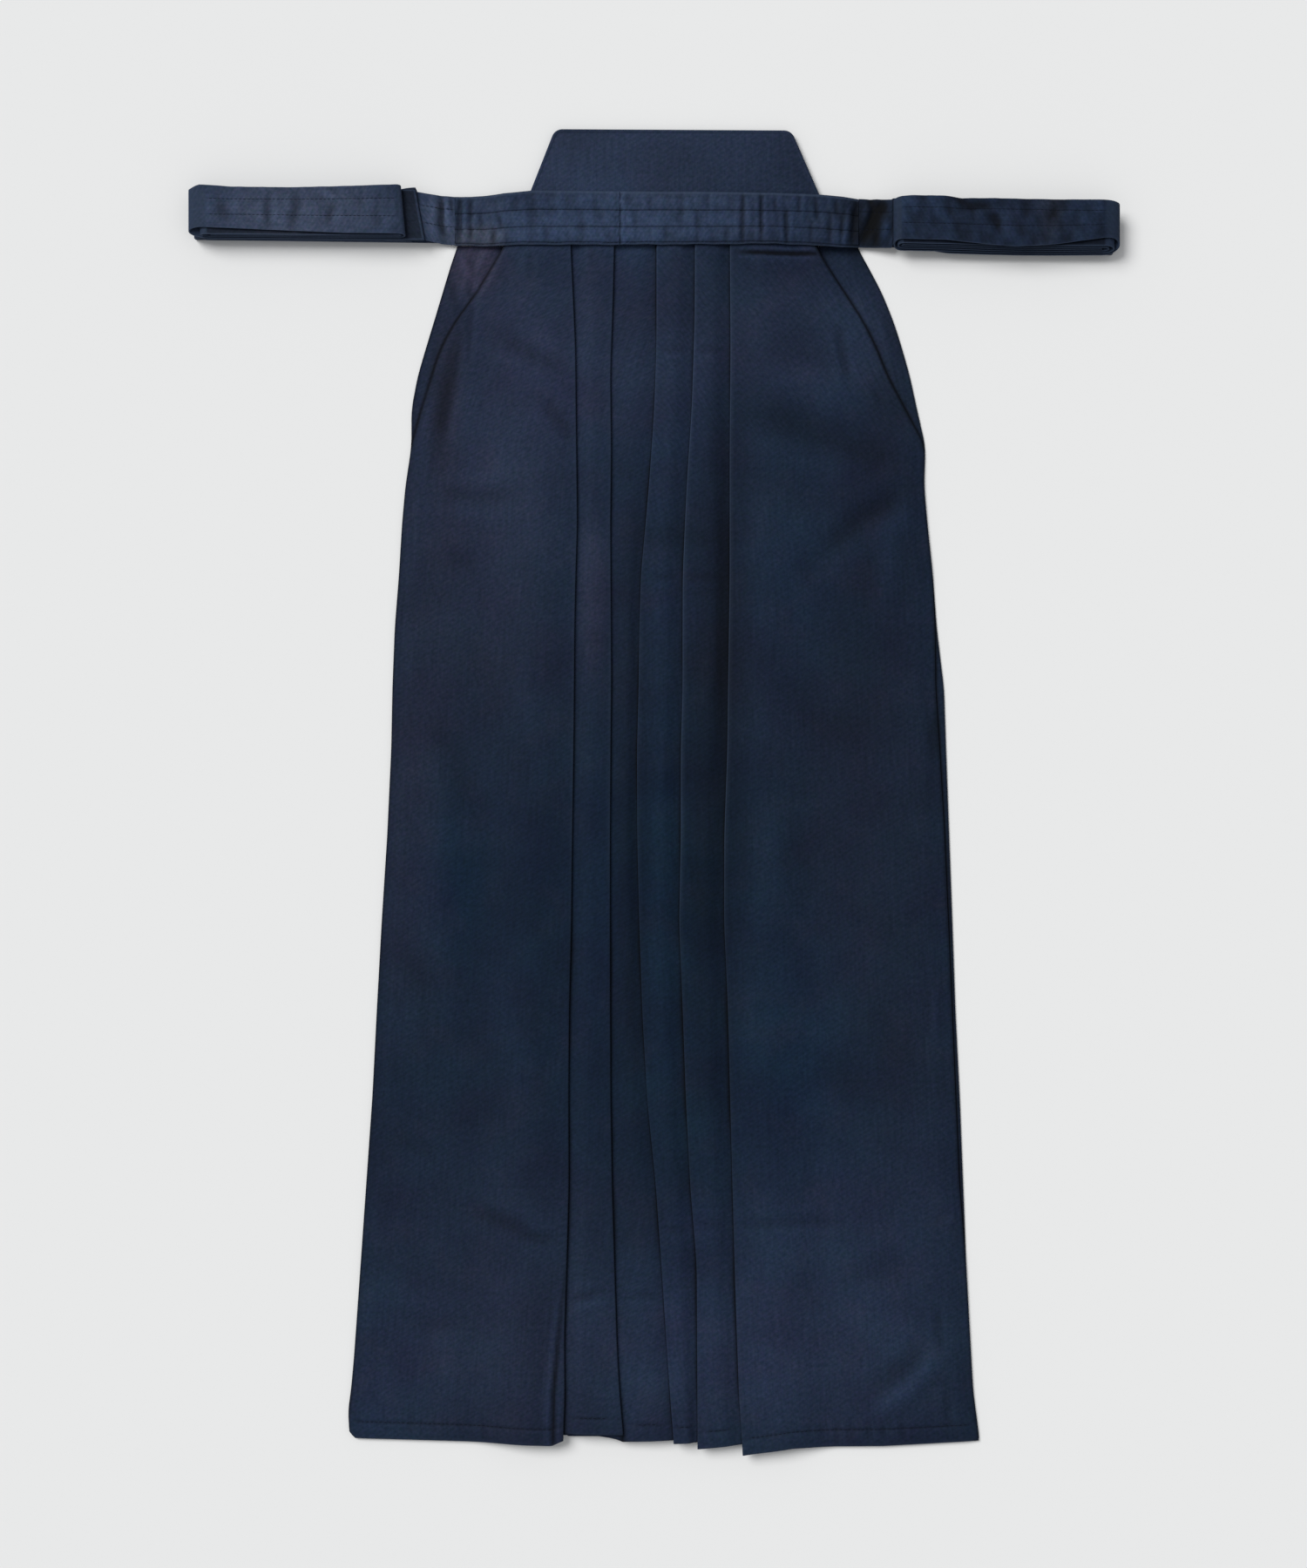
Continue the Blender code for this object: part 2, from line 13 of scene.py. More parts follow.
import bpy
import numpy as np
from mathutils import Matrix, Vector

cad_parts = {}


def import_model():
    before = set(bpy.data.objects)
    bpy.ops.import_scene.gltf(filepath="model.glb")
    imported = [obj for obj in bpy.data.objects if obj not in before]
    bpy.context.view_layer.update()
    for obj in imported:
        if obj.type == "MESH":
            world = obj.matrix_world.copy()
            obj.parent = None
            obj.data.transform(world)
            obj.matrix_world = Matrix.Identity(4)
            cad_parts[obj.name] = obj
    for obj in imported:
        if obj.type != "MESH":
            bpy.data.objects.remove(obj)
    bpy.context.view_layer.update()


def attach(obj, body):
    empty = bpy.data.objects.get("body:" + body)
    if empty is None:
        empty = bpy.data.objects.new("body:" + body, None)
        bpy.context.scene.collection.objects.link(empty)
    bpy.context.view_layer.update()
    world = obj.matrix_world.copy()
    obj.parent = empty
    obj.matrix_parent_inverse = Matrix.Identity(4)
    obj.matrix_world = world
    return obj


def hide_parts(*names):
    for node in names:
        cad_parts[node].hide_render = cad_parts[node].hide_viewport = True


LOG = logging.getLogger("hakama")
MM = 0.001
Pair = tuple[float, float]
Triple = tuple[float, float, float]
Crease = tuple[tuple[Pair, ...], float, float]

# Wall of the single cloth, wall of the doubled strap, and the pitch at which layers lie on each other
CLOTH_WALL = 0.8
STRAP_WALL = 1.15
PITCH = 1.3
STRAP_LEVEL = 1.5

# Photo: millimetres a pixel at the floor, and the pixel over the middle of the garment
PHOTO_PIXEL = 0.663
PHOTO_MIDDLE = (750.5, 908.5)

# The folds lie 9 mm nearer to the camera than the floor does, which is 1900 mm away
FOLD_NEARER = 9.0 / 1900.0

# Bends of each outline edge and fold of the skirt, in the photo's pixels: across, down. The first point of
# each outline edge is hidden under the waistband.
OUTLINE_PIXELS = {
    "back_left": (
        (530.3, 270.5), (527, 283), (522.6, 291), (502, 360), (481, 429), (472.7, 466.6), (473.7, 487),
        (472.7, 521.7), (464, 570), (459, 656), (453.8, 721), (451, 794), (450.5, 840), (447.7, 917.5),
        (442.8, 998), (440, 1037), (431, 1200), (429.4, 1241), (421.5, 1353), (411, 1503), (404, 1598.6),
        (400, 1630.5), (401.7, 1641.6),
    ),
    "front_left": (
        (586.9, 270.5), (583, 281), (553.6, 329), (543, 346), (526, 367), (509, 394), (500, 422), (485, 470),
        (474, 508), (472.7, 521.7),
    ),
    "front_right": (
        (928.5, 270.5), (932, 281), (953, 317), (980, 353), (1001, 391), (1018, 434), (1035.5, 466.6),
        (1056, 506), (1062, 516.5), (1059.6, 556), (1062, 596), (1065, 608), (1070, 663), (1071.6, 704),
        (1072, 776), (1073, 812), (1080, 896), (1083, 966), (1091, 1150), (1099, 1350), (1108, 1453),
        (1116.5, 1608), (1123, 1651),
    ),
    "back_right": (
        (978.3, 270.5), (982, 284), (1008, 329), (1028.6, 380.5), (1046, 442.5), (1054, 484), (1062, 516.5),
        (1059.6, 556), (1062, 596), (1065, 608), (1070, 663), (1071.6, 704), (1082, 776.5), (1086, 896),
        (1090, 1002), (1093, 1086), (1096, 1173.5), (1100, 1247), (1108, 1453), (1116.5, 1608), (1123, 1651),
    ),
}
FOLD_PIXELS = {
    "fold_1": (
        (654.4, 283), (659.8, 400), (660.9, 510), (662, 600), (659, 700), (658, 840), (656, 980), (655, 1086),
        (652, 1191), (652.6, 1356), (650, 1449), (647, 1477), (648, 1600), (646, 1655),
    ),
    "fold_2": (
        (704.5, 284), (703, 346), (700, 432), (701, 515), (700, 604), (701, 753), (701, 797), (699.6, 910),
        (700, 1191), (701, 1321), (703, 1391), (705, 1455), (708, 1551), (712, 1624), (715, 1646),
    ),
    "fold_3": (
        (754, 282), (754, 398), (751.6, 467), (746.5, 546), (739.6, 625), (735, 673), (733.4, 797),
        (732, 840), (731, 910), (733, 1016), (736, 1121), (741.6, 1247), (748, 1296), (756, 1391),
        (763, 1503), (770.6, 1614), (774, 1656),
    ),
    "fold_4": (
        (798, 282), (798, 363), (794.7, 467), (788, 570), (784, 666), (784, 797), (782, 858), (782, 981),
        (779.5, 1051), (784, 1156), (787, 1247), (793, 1367), (800, 1436), (801, 1655),
    ),
    "fold_5": (
        (838, 282), (839, 398), (838, 518), (838, 670), (836, 797), (836, 840), (831, 981), (830, 1033),
        (835, 1121), (838, 1247), (841, 1360), (844, 1470), (848, 1591), (853, 1653),
    ),
}
FRONT_INSET = 0.4

# Heights at which the skirt has a section across it
SECTION_HEIGHTS = (
    423, 412, 400, 378, 355, 335, 315, 290, 262, 232, 203, 164, 124, 78, 32,
    -34, -100, -166, -232, -298, -358, -411, -457, -480, -495,
)

# Hem of each strip of the front and of the back: x, y
HEM_MAIN_LEFT = ((-231.0, -485.5), (-227.0, -490.5), (-119.0, -493.4), (-77.0, -494.6), (-69.0, -491.0))
HEM_STRIP_LEFT = ((-67.0, -485.9), (-23.4, -486.6))
HEM_CENTRE = ((-55.0, -487.4), (-23.4, -492.2), (15.0, -491.0))
HEM_STRIP_3 = ((15.5, -493.2), (33.3, -492.4))
HEM_STRIP_4 = ((33.3, -497.2), (67.7, -493.9))
HEM_MAIN_RIGHT = ((67.7, -502.0), (75.0, -500.8), (105.0, -496.9), (174.0, -496.4), (247.0, -492.4))
HEM_BACK = ((-231.4, -483.5), (-227.4, -488.0), (0.0, -489.0), (247.0, -491.0))
HIDDEN_HEM_LIFT = 1.6

# Half of the stretch over which the corners of folds, outline and ground are rounded off
FOLD_SOFTEN = 9.0
EDGE_SOFTEN = 7.0
GROUND_SOFTEN = 5.0

# Hem: depth of its stitches, and where the sections start to follow its slant
HEM_DEPTH = 12.5
HEM_BLEND_TOP = -430.0
HEM_Y = -495.0

# What the front lies on: board and back straps, back pleats, gussets
GROUND_COLUMNS = ("y", "middle", "side")
GROUND_ROWS = (
    (423, 6.6, 6.6), (412, 6.6, 6.6), (400, 5.6, 5.0), (378, 3.9, 1.3),
    (-20, 3.9, 1.3), (-48, 6.5, 1.3), (-495, 6.5, 1.3),
)

# Creases of the front, placed one by one: points along it, width, height (a trough is below zero)
FRONT_CREASES: tuple[Crease, ...] = (
    # inside the left side opening
    (((-141.6, 369.0), (-158.0, 302.0), (-164.8, 243.0)), 6.0, -1.5),
    (((-138.5, 374.9), (-139.6, 325.2)), 3.0, -0.9),
    (((-150.8, 320.6), (-167.4, 263.5)), 8.0, -0.8),
    # left panel
    (((-118.3, 345.8), (-92.0, 330.0), (-66.6, 317.9)), 7.0, -1.1),
    (((-85.2, 299.3), (-57.3, 261.6)), 6.0, -1.1),
    (((-164.8, 226.0), (-132.0, 223.0), (-103.8, 225.0)), 7.0, -1.0),
    (((-160.0, 178.0), (-132.0, 173.0)), 8.0, -0.7),
    (((-176.0, 60.0), (-150.0, 30.0), (-141.0, -20.0)), 10.0, -0.6),
    (((-100.0, 110.0), (-92.0, 40.0)), 11.0, 0.6),
    (((-181.0, -110.0), (-168.0, -190.0)), 9.0, -0.6),
    (((-120.0, -140.0), (-104.0, -205.0), (-99.0, -260.0)), 12.0, 0.6),
    (((-196.0, -262.0), (-160.0, -278.0)), 7.0, -0.6),
    (((-140.2, -316.6), (-110.0, -327.0), (-79.9, -341.1)), 6.0, -1.1),
    (((-97.0, -338.8), (-73.3, -337.0)), 4.0, -0.8),
    (((-66.4, -360.0), (-72.6, -420.0), (-75.6, -455.0), (-76.4, -520.0)), 1.9, -2.2),
    (((-73.0, -395.0), (-79.5, -450.0), (-80.5, -500.0)), 3.2, 0.8),
    (((-205.0, -392.0), (-170.0, -404.0), (-131.0, -401.0)), 9.0, -0.6),
    (((-183.3, -470.0), (-184.0, -489.0)), 2.2, -0.7),
    (((-176.7, -471.0), (-176.0, -489.0)), 2.0, -0.6),
    (((-129.0, -474.0), (-128.0, -491.0)), 2.4, -0.5),
    (((-101.0, -476.0), (-102.0, -492.0)), 2.0, -0.5),
    # strips on the left and the centre strip
    (((-66.0, -383.5), (-50.0, -381.0), (-34.8, -376.0)), 3.4, -1.1),
    (((-66.0, -391.5), (-48.0, -388.0), (-34.8, -383.0)), 3.4, 0.8),
    (((-35.0, -361.0), (-28.0, -362.5)), 3.4, -0.9),
    (((-38.0, -276.0), (-31.0, -277.5)), 3.2, -0.8),
    (((-24.2, -384.0), (-8.0, -380.6), (7.0, -382.2)), 3.0, -0.9),
    (((-27.0, 243.0), (-12.0, 240.0)), 5.0, -0.5),
    (((-52.0, 120.0), (-36.0, 112.0)), 6.0, -0.5),
    (((-20.0, -120.0), (-14.0, -190.0)), 5.0, -0.4),
    # strips on the right
    (((9.0, -330.0), (18.0, -331.5), (27.5, -330.5)), 3.0, -1.0),
    (((31.5, -327.2), (58.7, -327.2)), 4.0, -0.7),
    (((60.7, -327.6), (98.0, -326.0), (144.9, -327.2)), 4.2, -0.8),
    (((3.0, 334.2), (59.3, 333.6)), 3.2, -0.8), (((3.0, 330.0), (57.3, 329.6)), 3.2, 0.5),
    (((-11.6, 161.8), (59.3, 161.4)), 3.2, -0.9), (((-11.0, 157.4), (57.0, 157.0)), 3.4, 0.6),
    (((55.0, 231.0), (52.0, 145.0), (49.5, 12.0)), 4.5, -0.9),
    (((30.0, -40.0), (36.0, -110.0)), 6.0, -0.5),
    # right panel, below the waistband
    (((60.0, 407.8), (95.0, 406.6), (132.3, 406.9)), 1.9, -2.4),
    (((68.0, 401.5), (122.0, 399.5)), 4.0, 0.6),
    (((139.9, 352.8), (147.5, 308.3)), 3.4, -1.0),
    (((167.4, 304.0), (173.4, 292.7)), 2.5, -1.0),
    (((63.3, 289.4), (130.0, 268.0), (205.2, 241.7)), 13.0, -1.3),
    (((84.0, 322.0), (150.0, 296.0)), 15.0, 0.8),
    (((199.2, 233.7), (184.6, 224.4), (154.2, 204.5), (115.0, 168.7)), 9.0, -1.2),
    (((198.0, 214.0), (168.0, 190.0)), 9.0, 0.7),
    (((180.0, 200.0), (178.0, 168.7), (175.0, 130.0)), 8.0, 0.9),
    (((96.0, 96.0), (120.0, 62.0), (150.0, 48.0)), 12.0, -0.6),
    (((215.1, 85.2), (214.5, 52.0)), 3.0, 0.7),
    (((88.0, -20.0), (92.0, -96.0)), 10.0, 0.6),
    (((214.5, -142.0), (213.0, -190.0)), 3.2, 0.8),
    (((150.0, -80.0), (190.0, -112.0)), 12.0, -0.6),
    (((120.0, -200.0), (163.0, -232.0)), 13.0, -0.6),
    (((217.8, -330.0), (224.0, -326.0), (230.4, -318.0)), 3.0, 0.7),
    (((150.0, -372.0), (186.0, -356.0)), 10.0, -0.6),
    (((166.1, -474.0), (196.0, -452.0), (217.8, -427.3)), 6.0, 1.4),
    (((160.0, -457.0), (190.0, -436.0), (208.0, -412.0)), 7.0, -0.8),
    (((215.1, -392.2), (218.0, -430.0)), 3.5, -0.8),
    (((222.0, -448.0), (224.0, -487.0)), 3.5, -0.8),
    # puckers of the right hem
    (((118.0, -477.0), (117.0, -494.0)), 2.0, -0.7),
    (((127.5, -479.0), (127.0, -494.0)), 2.2, -0.6),
    (((139.0, -476.0), (140.0, -494.0)), 2.4, -0.8),
    (((149.5, -478.0), (149.0, -494.0)), 2.0, -0.6),
    (((162.0, -475.0), (163.0, -494.0)), 2.4, -0.9),
    (((174.5, -478.0), (175.0, -493.0)), 2.2, -0.7),
    (((188.0, -476.0), (190.0, -493.0)), 2.4, -0.8),
    (((84.0, -483.0), (84.0, -498.0)), 2.2, -0.5),
    (((47.0, -482.0), (47.5, -495.0)), 2.0, -0.5),
    (((-6.0, -478.0), (-5.5, -490.0)), 2.0, -0.5),
    # puckers where the panels are gathered into the waistband
    (((-92.0, 411.0), (-93.5, 388.0)), 3.0, -0.7),
    (((-77.0, 411.0), (-76.0, 396.0)), 2.4, -0.5),
    (((-46.0, 411.0), (-46.5, 394.0)), 2.4, -0.5),
    (((16.0, 411.0), (15.5, 398.0)), 2.4, -0.5),
    (((44.0, 411.0), (45.0, 397.0)), 2.4, -0.5),
    (((80.0, 411.0), (82.0, 392.0)), 3.0, 0.5),
    (((104.0, 411.0), (107.0, 394.0)), 2.6, -0.5),
)

# Creases of the back, seen from below and at its edges
BACK_CREASES: tuple[Crease, ...] = (
    (((-147.0, 409.0), (-131.0, 372.0)), 3.6, 0.8),
    (((-143.0, 409.0), (-137.0, 388.0), (-141.0, 368.0)), 2.6, -0.9),
    (((-156.0, 392.0), (-147.0, 360.0)), 3.4, -0.8),
    (((-128.0, 411.0), (-133.0, 396.0)), 2.6, 0.6),
    (((-176.0, 330.0), (-160.0, 250.0), (-150.0, 180.0)), 9.0, 0.5),
    (((-150.0, 120.0), (-90.0, 96.0)), 8.0, 0.5),
    (((-190.0, -20.0), (-120.0, -44.0)), 7.0, 0.5),
    (((-120.0, -150.0), (-104.0, -260.0)), 10.0, 0.5),
    (((-200.0, -330.0), (-110.0, -352.0)), 6.0, 0.6),
    (((-60.0, 333.0), (60.0, 333.0)), 3.0, 0.5),
    (((-120.0, 161.0), (110.0, 161.0)), 3.0, 0.5),
    (((170.0, 360.0), (182.0, 320.0)), 4.0, 0.6),
    (((80.0, 290.0), (190.0, 246.0)), 9.0, 0.5),
    (((196.0, 220.0), (120.0, 170.0)), 8.0, 0.5),
    (((120.0, 60.0), (150.0, -40.0)), 10.0, 0.5),
    (((90.0, -180.0), (190.0, -214.0)), 8.0, 0.5),
    (((100.0, -327.0), (210.0, -322.0)), 5.0, 0.6),
    (((150.0, -470.0), (214.0, -424.0)), 6.0, 0.6),
)

# Slow waves of the laid cloth: wavelength, direction in degrees, phase in degrees, share
WAVES = (
    (236.0, 14.0, 40.0, 1.0), (187.0, 71.0, 200.0, 0.9), (149.0, -38.0, 310.0, 0.8),
    (117.0, 103.0, 95.0, 0.7), (92.0, 33.0, 12.0, 0.6), (71.0, -64.0, 265.0, 0.5), (55.0, 86.0, 150.0, 0.4),
    (43.0, 8.0, 330.0, 0.3),
)

# Small crumples of the band and the straps, in the same columns
CRUMPLES = (
    (26.0, 10.0, 30.0, 0.9), (18.5, -24.0, 140.0, 0.9), (13.0, 31.0, 250.0, 0.8), (9.7, -9.0, 80.0, 0.7),
    (7.4, 19.0, 300.0, 0.5), (14.5, 72.0, 10.0, 0.5), (10.5, -58.0, 200.0, 0.45),
)

# Soft changes of tone, partly from dye and pressing and partly painted light and shade of broad folds,
# wrinkles and the rolls, the left one lit and the right one shaded: x, y, reach across, reach along, brighter
# or darker, drift to plum
TONE_AND_SHADE_PATCHES = (
    (-112.0, 300.0, 66.0, 130.0, 0.34, 0.22), (-126.0, 60.0, 76.0, 100.0, -0.04, 0.1),
    (-120.0, -345.0, 96.0, 140.0, 0.16, 0.1), (-138.0, 402.0, 22.0, 26.0, 0.05, 0.85),
    (-158.0, 300.0, 14.0, 80.0, -0.22, 0.2), (-46.0, 150.0, 12.0, 60.0, 0.18, 0.35),
    (-8.0, 350.0, 70.0, 80.0, 0.26, 0.15), (-16.0, -20.0, 16.0, 260.0, -0.27, 0.0),
    (44.0, -10.0, 22.0, 250.0, -0.28, 0.0), (12.0, -430.0, 60.0, 70.0, 0.16, 0.0),
    (-46.0, -420.0, 18.0, 60.0, 0.08, 0.0), (53.0, 130.0, 6.0, 120.0, -0.42, 0.0),
    (112.0, 345.0, 64.0, 76.0, 0.32, 0.15), (176.0, 330.0, 18.0, 90.0, -0.10, 0.1),
    (120.0, 290.0, 70.0, 22.0, -0.12, -0.06), (160.0, -10.0, 60.0, 140.0, -0.10, 0.1),
    (106.0, -170.0, 36.0, 80.0, 0.20, -0.06), (146.0, -350.0, 90.0, 140.0, 0.34, 0.1),
    (196.0, -220.0, 34.0, 80.0, -0.03, 0.1), (-130.0, 420.0, 18.0, 9.0, 0.0, 0.7),
    (-128.0, 443.0, 22.0, 8.0, 0.05, 0.2), (-268.0, 437.0, 84.0, 40.0, 0.84, 0.66),
    (-165.0, 434.0, 14.0, 30.0, 0.56, 0.45), (268.0, 430.0, 92.0, 40.0, -0.31, 0.0),
    (166.0, 431.0, 12.0, 30.0, -0.91, -0.2), (153.0, 431.0, 6.0, 26.0, -0.55, 0.0),
    (144.0, 442.0, 8.0, 12.0, -0.30, 0.0), (128.0, 432.0, 14.0, 26.0, -0.15, 0.0),
    (16.0, 478.0, 130.0, 30.0, 0.32, 0.45), (-20.0, 433.0, 130.0, 20.0, 0.50, 0.15),
    (173.5, 425.0, 4.0, 7.0, 1.0, 0.0), (92.0, 96.0, 60.0, 60.0, -0.12, 0.1),
    (-100.0, -90.0, 70.0, 70.0, -0.06, 0.0), (-160.0, -60.0, 30.0, 60.0, 0.08, -0.1),
    (-80.0, 230.0, 120.0, 190.0, 0.14, 0.0), (-176.0, 140.0, 26.0, 150.0, 0.12, 0.15),
    (-130.0, 165.0, 50.0, 90.0, 0.0, 0.12), (94.0, 150.0, 26.0, 120.0, 0.20, 0.0),
    (48.0, 120.0, 12.0, 200.0, -0.14, 0.0), (30.0, -40.0, 20.0, 120.0, -0.15, 0.0),
    (-112.0, -255.0, 60.0, 60.0, -0.10, 0.0), (-192.0, -440.0, 44.0, 80.0, 0.26, 0.0),
    (26.0, -430.0, 70.0, 90.0, 0.18, 0.0), (96.0, -430.0, 26.0, 90.0, 0.16, 0.0),
    (150.0, -430.0, 90.0, 80.0, 0.10, 0.0), (164.0, -230.0, 34.0, 80.0, -0.14, 0.0),
    (190.0, -196.0, 24.0, 40.0, -0.10, 0.0), (-60.0, -70.0, 140.0, 120.0, 0.0, -0.15),
    (112.0, 115.0, 50.0, 60.0, 0.0, -0.10), (212.0, 40.0, 6.0, 18.0, -0.40, 0.0),
    (8.0, 220.0, 17.0, 13.0, 0.10, 0.0), (22.0, 193.0, 36.0, 9.0, -0.14, 0.0),
    (16.0, 138.0, 26.0, 22.0, 0.14, 0.0), (-50.0, -395.0, 14.0, 26.0, 0.08, 0.0),
    (30.0, 290.0, 16.0, 50.0, 0.18, 0.0), (66.0, 110.0, 9.0, 200.0, -0.15, 0.0),
    (158.0, 140.0, 22.0, 120.0, -0.10, 0.0), (130.0, 270.0, 26.0, 120.0, 0.08, 0.0),
    (-150.0, -90.0, 60.0, 90.0, 0.07, 0.0), (-44.0, -110.0, 16.0, 70.0, 0.12, 0.0),
    (30.0, -325.0, 18.0, 20.0, 0.28, 0.0), (112.0, -325.0, 60.0, 40.0, 0.11, 0.0),
    (-214.0, -470.0, 18.0, 30.0, 0.18, 0.0), (-60.0, 409.0, 90.0, 13.0, 0.16, 0.0),
    (160.0, 350.0, 14.0, 40.0, 0.24, 0.0), (-4.0, 75.0, 15.0, 330.0, 0.10, 0.0),
    (-8.0, 392.0, 56.0, 22.0, 0.12, 0.0), (-4.0, 275.0, 46.0, 34.0, 0.10, 0.0),
    (24.0, -385.0, 46.0, 76.0, 0.12, 0.0), (112.0, 112.0, 34.0, 70.0, 0.10, 0.0),
    (-184.0, -60.0, 26.0, 110.0, 0.05, 0.25), (20.0, -240.0, 220.0, 70.0, 0.0, -0.12),
    (26.0, -50.0, 50.0, 150.0, 0.03, -0.10), (-20.0, -440.0, 230.0, 66.0, 0.06, 0.12),
    # the right run and the right roll: painted shade in the deep wrinkles and painted light on their ridges
    (160.5, 437.5, 3.0, 7.0, 0.9, 0.0), (158.5, 421.0, 7.0, 5.0, -0.35, 0.0),
    (174.0, 442.0, 6.0, 5.0, -0.35, 0.0), (204.0, 444.0, 20.0, 7.0, 0.22, 0.0),
    (268.0, 428.0, 12.0, 16.0, 0.24, 0.0), (298.0, 436.0, 9.0, 22.0, -0.12, 0.5),
    (330.0, 432.0, 16.0, 20.0, 0.20, 0.0), (232.0, 446.0, 10.0, 5.0, -0.35, 0.0),
    (214.0, 428.0, 8.0, 12.0, 0.12, 0.0),
)

# Front waistband, one row for each section along it
BAND_COLUMNS = ("x", "bottom", "top", "underside", "mouth")
BAND_ROWS = (
    (-150.5, 413.9, 450.6, 1.8, 0.0), (-139.0, 413.8, 450.7, 1.8, 0.0), (-128.0, 413.6, 451.4, 1.8, 0.0),
    (-120.0, 413.5, 452.0, 3.6, 0.0), (-114.0, 413.4, 452.6, 5.3, 1.3), (-106.0, 413.4, 453.3, 5.3, 1.3),
    (-91.0, 413.3, 454.9, 5.3, 3.9), (-60.0, 413.2, 454.6, 5.3, 3.9), (-30.0, 413.2, 454.2, 5.3, 3.9),
    (0.0, 413.4, 454.0, 5.3, 3.9), (30.0, 413.5, 454.0, 5.3, 3.9), (60.0, 413.7, 453.6, 5.3, 3.9),
    (92.0, 414.2, 453.0, 5.3, 3.9), (112.0, 413.6, 452.3, 5.3, 1.3), (124.0, 413.0, 451.8, 5.3, 1.3),
    (131.0, 412.8, 451.2, 5.3, 0.0), (143.5, 412.4, 450.0, 5.3, 0.0), (154.9, 412.2, 448.8, 2.4, 0.0),
)

# Puckers of the waistband: x, lowest and highest share of its height, lean of the top, width, height
BAND_PUCKERS = (
    (-147.5, 0.05, 0.98, 1.0, 2.6, -0.9), (-143.0, 0.20, 0.98, 0.0, 1.6, 0.5),
    (-138.5, 0.10, 0.95, -1.0, 1.8, -0.6), (-131.0, 0.36, 0.66, -4.0, 1.8, -0.5),
    (-121.0, 0.02, 0.34, 5.0, 2.4, -0.7), (-116.0, 0.30, 0.62, -7.0, 2.0, -0.6),
    (-104.0, 0.66, 0.96, 3.0, 2.4, -0.4), (-93.0, 0.34, 0.66, 0.0, 4.0, -0.5),
    (-92.0, 0.66, 0.98, 1.0, 3.0, -0.4), (-80.0, 0.02, 0.34, 1.0, 3.0, -0.4),
    (-70.0, 0.34, 0.98, 0.5, 3.0, 0.4), (-55.0, 0.05, 0.66, 0.5, 3.6, -0.5),
    (-44.0, 0.60, 0.98, 0.0, 2.6, -0.3), (-14.0, 0.34, 0.66, 1.0, 2.6, -0.4),
    (-3.0, 0.66, 0.98, 0.0, 2.0, -0.4), (9.0, 0.02, 0.34, 0.6, 2.4, -0.4),
    (21.0, 0.34, 0.98, 0.0, 2.4, -0.35), (33.0, 0.02, 0.66, 0.0, 2.2, -0.45),
    (44.5, 0.64, 0.98, 0.0, 1.8, 0.45), (55.0, 0.02, 0.34, 0.0, 2.0, -0.4),
    (67.0, 0.04, 0.98, 0.8, 1.9, -0.8), (72.0, 0.34, 0.66, 0.0, 2.2, 0.4),
    (81.2, 0.04, 0.98, 0.4, 1.7, -1.0), (86.0, 0.04, 0.60, 0.0, 2.4, 0.4),
    (92.0, 0.66, 0.95, 0.0, 1.6, -0.5), (100.2, 0.03, 0.66, -0.8, 1.9, -1.1),
    (105.0, 0.30, 0.66, 0.0, 1.8, 0.5), (110.0, 0.66, 0.98, 0.0, 2.2, -0.7),
    (113.5, 0.62, 0.98, 0.0, 1.6, 0.5), (119.0, 0.05, 0.50, 1.6, 2.0, -0.5),
    (123.0, 0.50, 0.98, -1.5, 1.8, -0.7), (128.0, 0.30, 0.66, 0.6, 1.8, 0.4),
    (133.0, 0.05, 0.66, 1.0, 1.8, -0.6), (138.0, 0.66, 0.98, -1.0, 1.8, -0.5),
    (142.0, 0.04, 0.60, 2.0, 1.8, -0.7), (147.0, 0.30, 0.80, 3.5, 2.0, 0.6),
    (151.5, 0.05, 0.98, 5.0, 2.6, -1.0),
)

# Seam of the waistband, and its stitch rows as shares of its height
BAND_JOINT = -25.5
BAND_STITCHES = (0.045, 0.335, 0.665)

# Straps: widths, underside of the rolls, middle of the lowest wall, level of a roll's top layer, stitch rows
STRAP_WIDTH = 36.5
BACK_STRAP_WIDTH = 35.0
ROLL_FLOOR = 7.2
STRAP_LOWEST = 0.75
TOP_LEVEL = 6
STRAP_STITCHES = (0.46, -0.26)


class Slot(str, Enum):
    """Material slots of the record."""

    TROUSER = "trouser_cloth"
    STRAP = "strap_cloth"
    BOARD = "board_cloth"


def named(columns: Sequence[str], rows: Sequence[Sequence[float]]) -> dict[str, np.ndarray]:
    """Each named column of a table, as an array."""
    values = np.array(rows, float)
    return {name: values[:, index] for index, name in enumerate(columns)}


def edge_from_photo(pixels: Sequence[Pair], heights: np.ndarray, nearer: float = 0.0) -> np.ndarray:
    """Places across the garment of an edge seen in the photo.

    Args:
        pixels: Bends of the edge, across and down.
        heights: Where it is read.
        nearer: How much nearer to the camera than the floor it lies, as a share.

    Returns:
        The place at each height.
    """
    across_photo, down_photo = np.array(pixels, float).T
    y = (PHOTO_MIDDLE[1] - down_photo) * PHOTO_PIXEL
    x = (across_photo - PHOTO_MIDDLE[0]) * PHOTO_PIXEL * (1 - nearer)
    return np.interp(-heights, -y, x)


def sections_from_photo() -> dict[str, np.ndarray]:
    """Named columns of the skirt's sections.

    Returns:
        y, and the place across of each edge and fold there.
    """
    heights = np.array(SECTION_HEIGHTS, float)
    sections = {"y": heights}
    sections |= {name: edge_from_photo(pixels, heights) for name, pixels in OUTLINE_PIXELS.items()}
    sections |= {name: edge_from_photo(pixels, heights, FOLD_NEARER) for name, pixels in FOLD_PIXELS.items()}
    # below its side opening, each front panel lies just inside the back one
    parting = (PHOTO_MIDDLE[1] - OUTLINE_PIXELS["front_left"][-1][1]) * PHOTO_PIXEL
    left = np.where(heights < parting, sections["back_left"], sections["front_left"])
    sections["front_left"] = np.maximum(left, sections["back_left"] + FRONT_INSET)
    sections["front_right"] = np.minimum(sections["front_right"], sections["back_right"] - FRONT_INSET)
    return sections


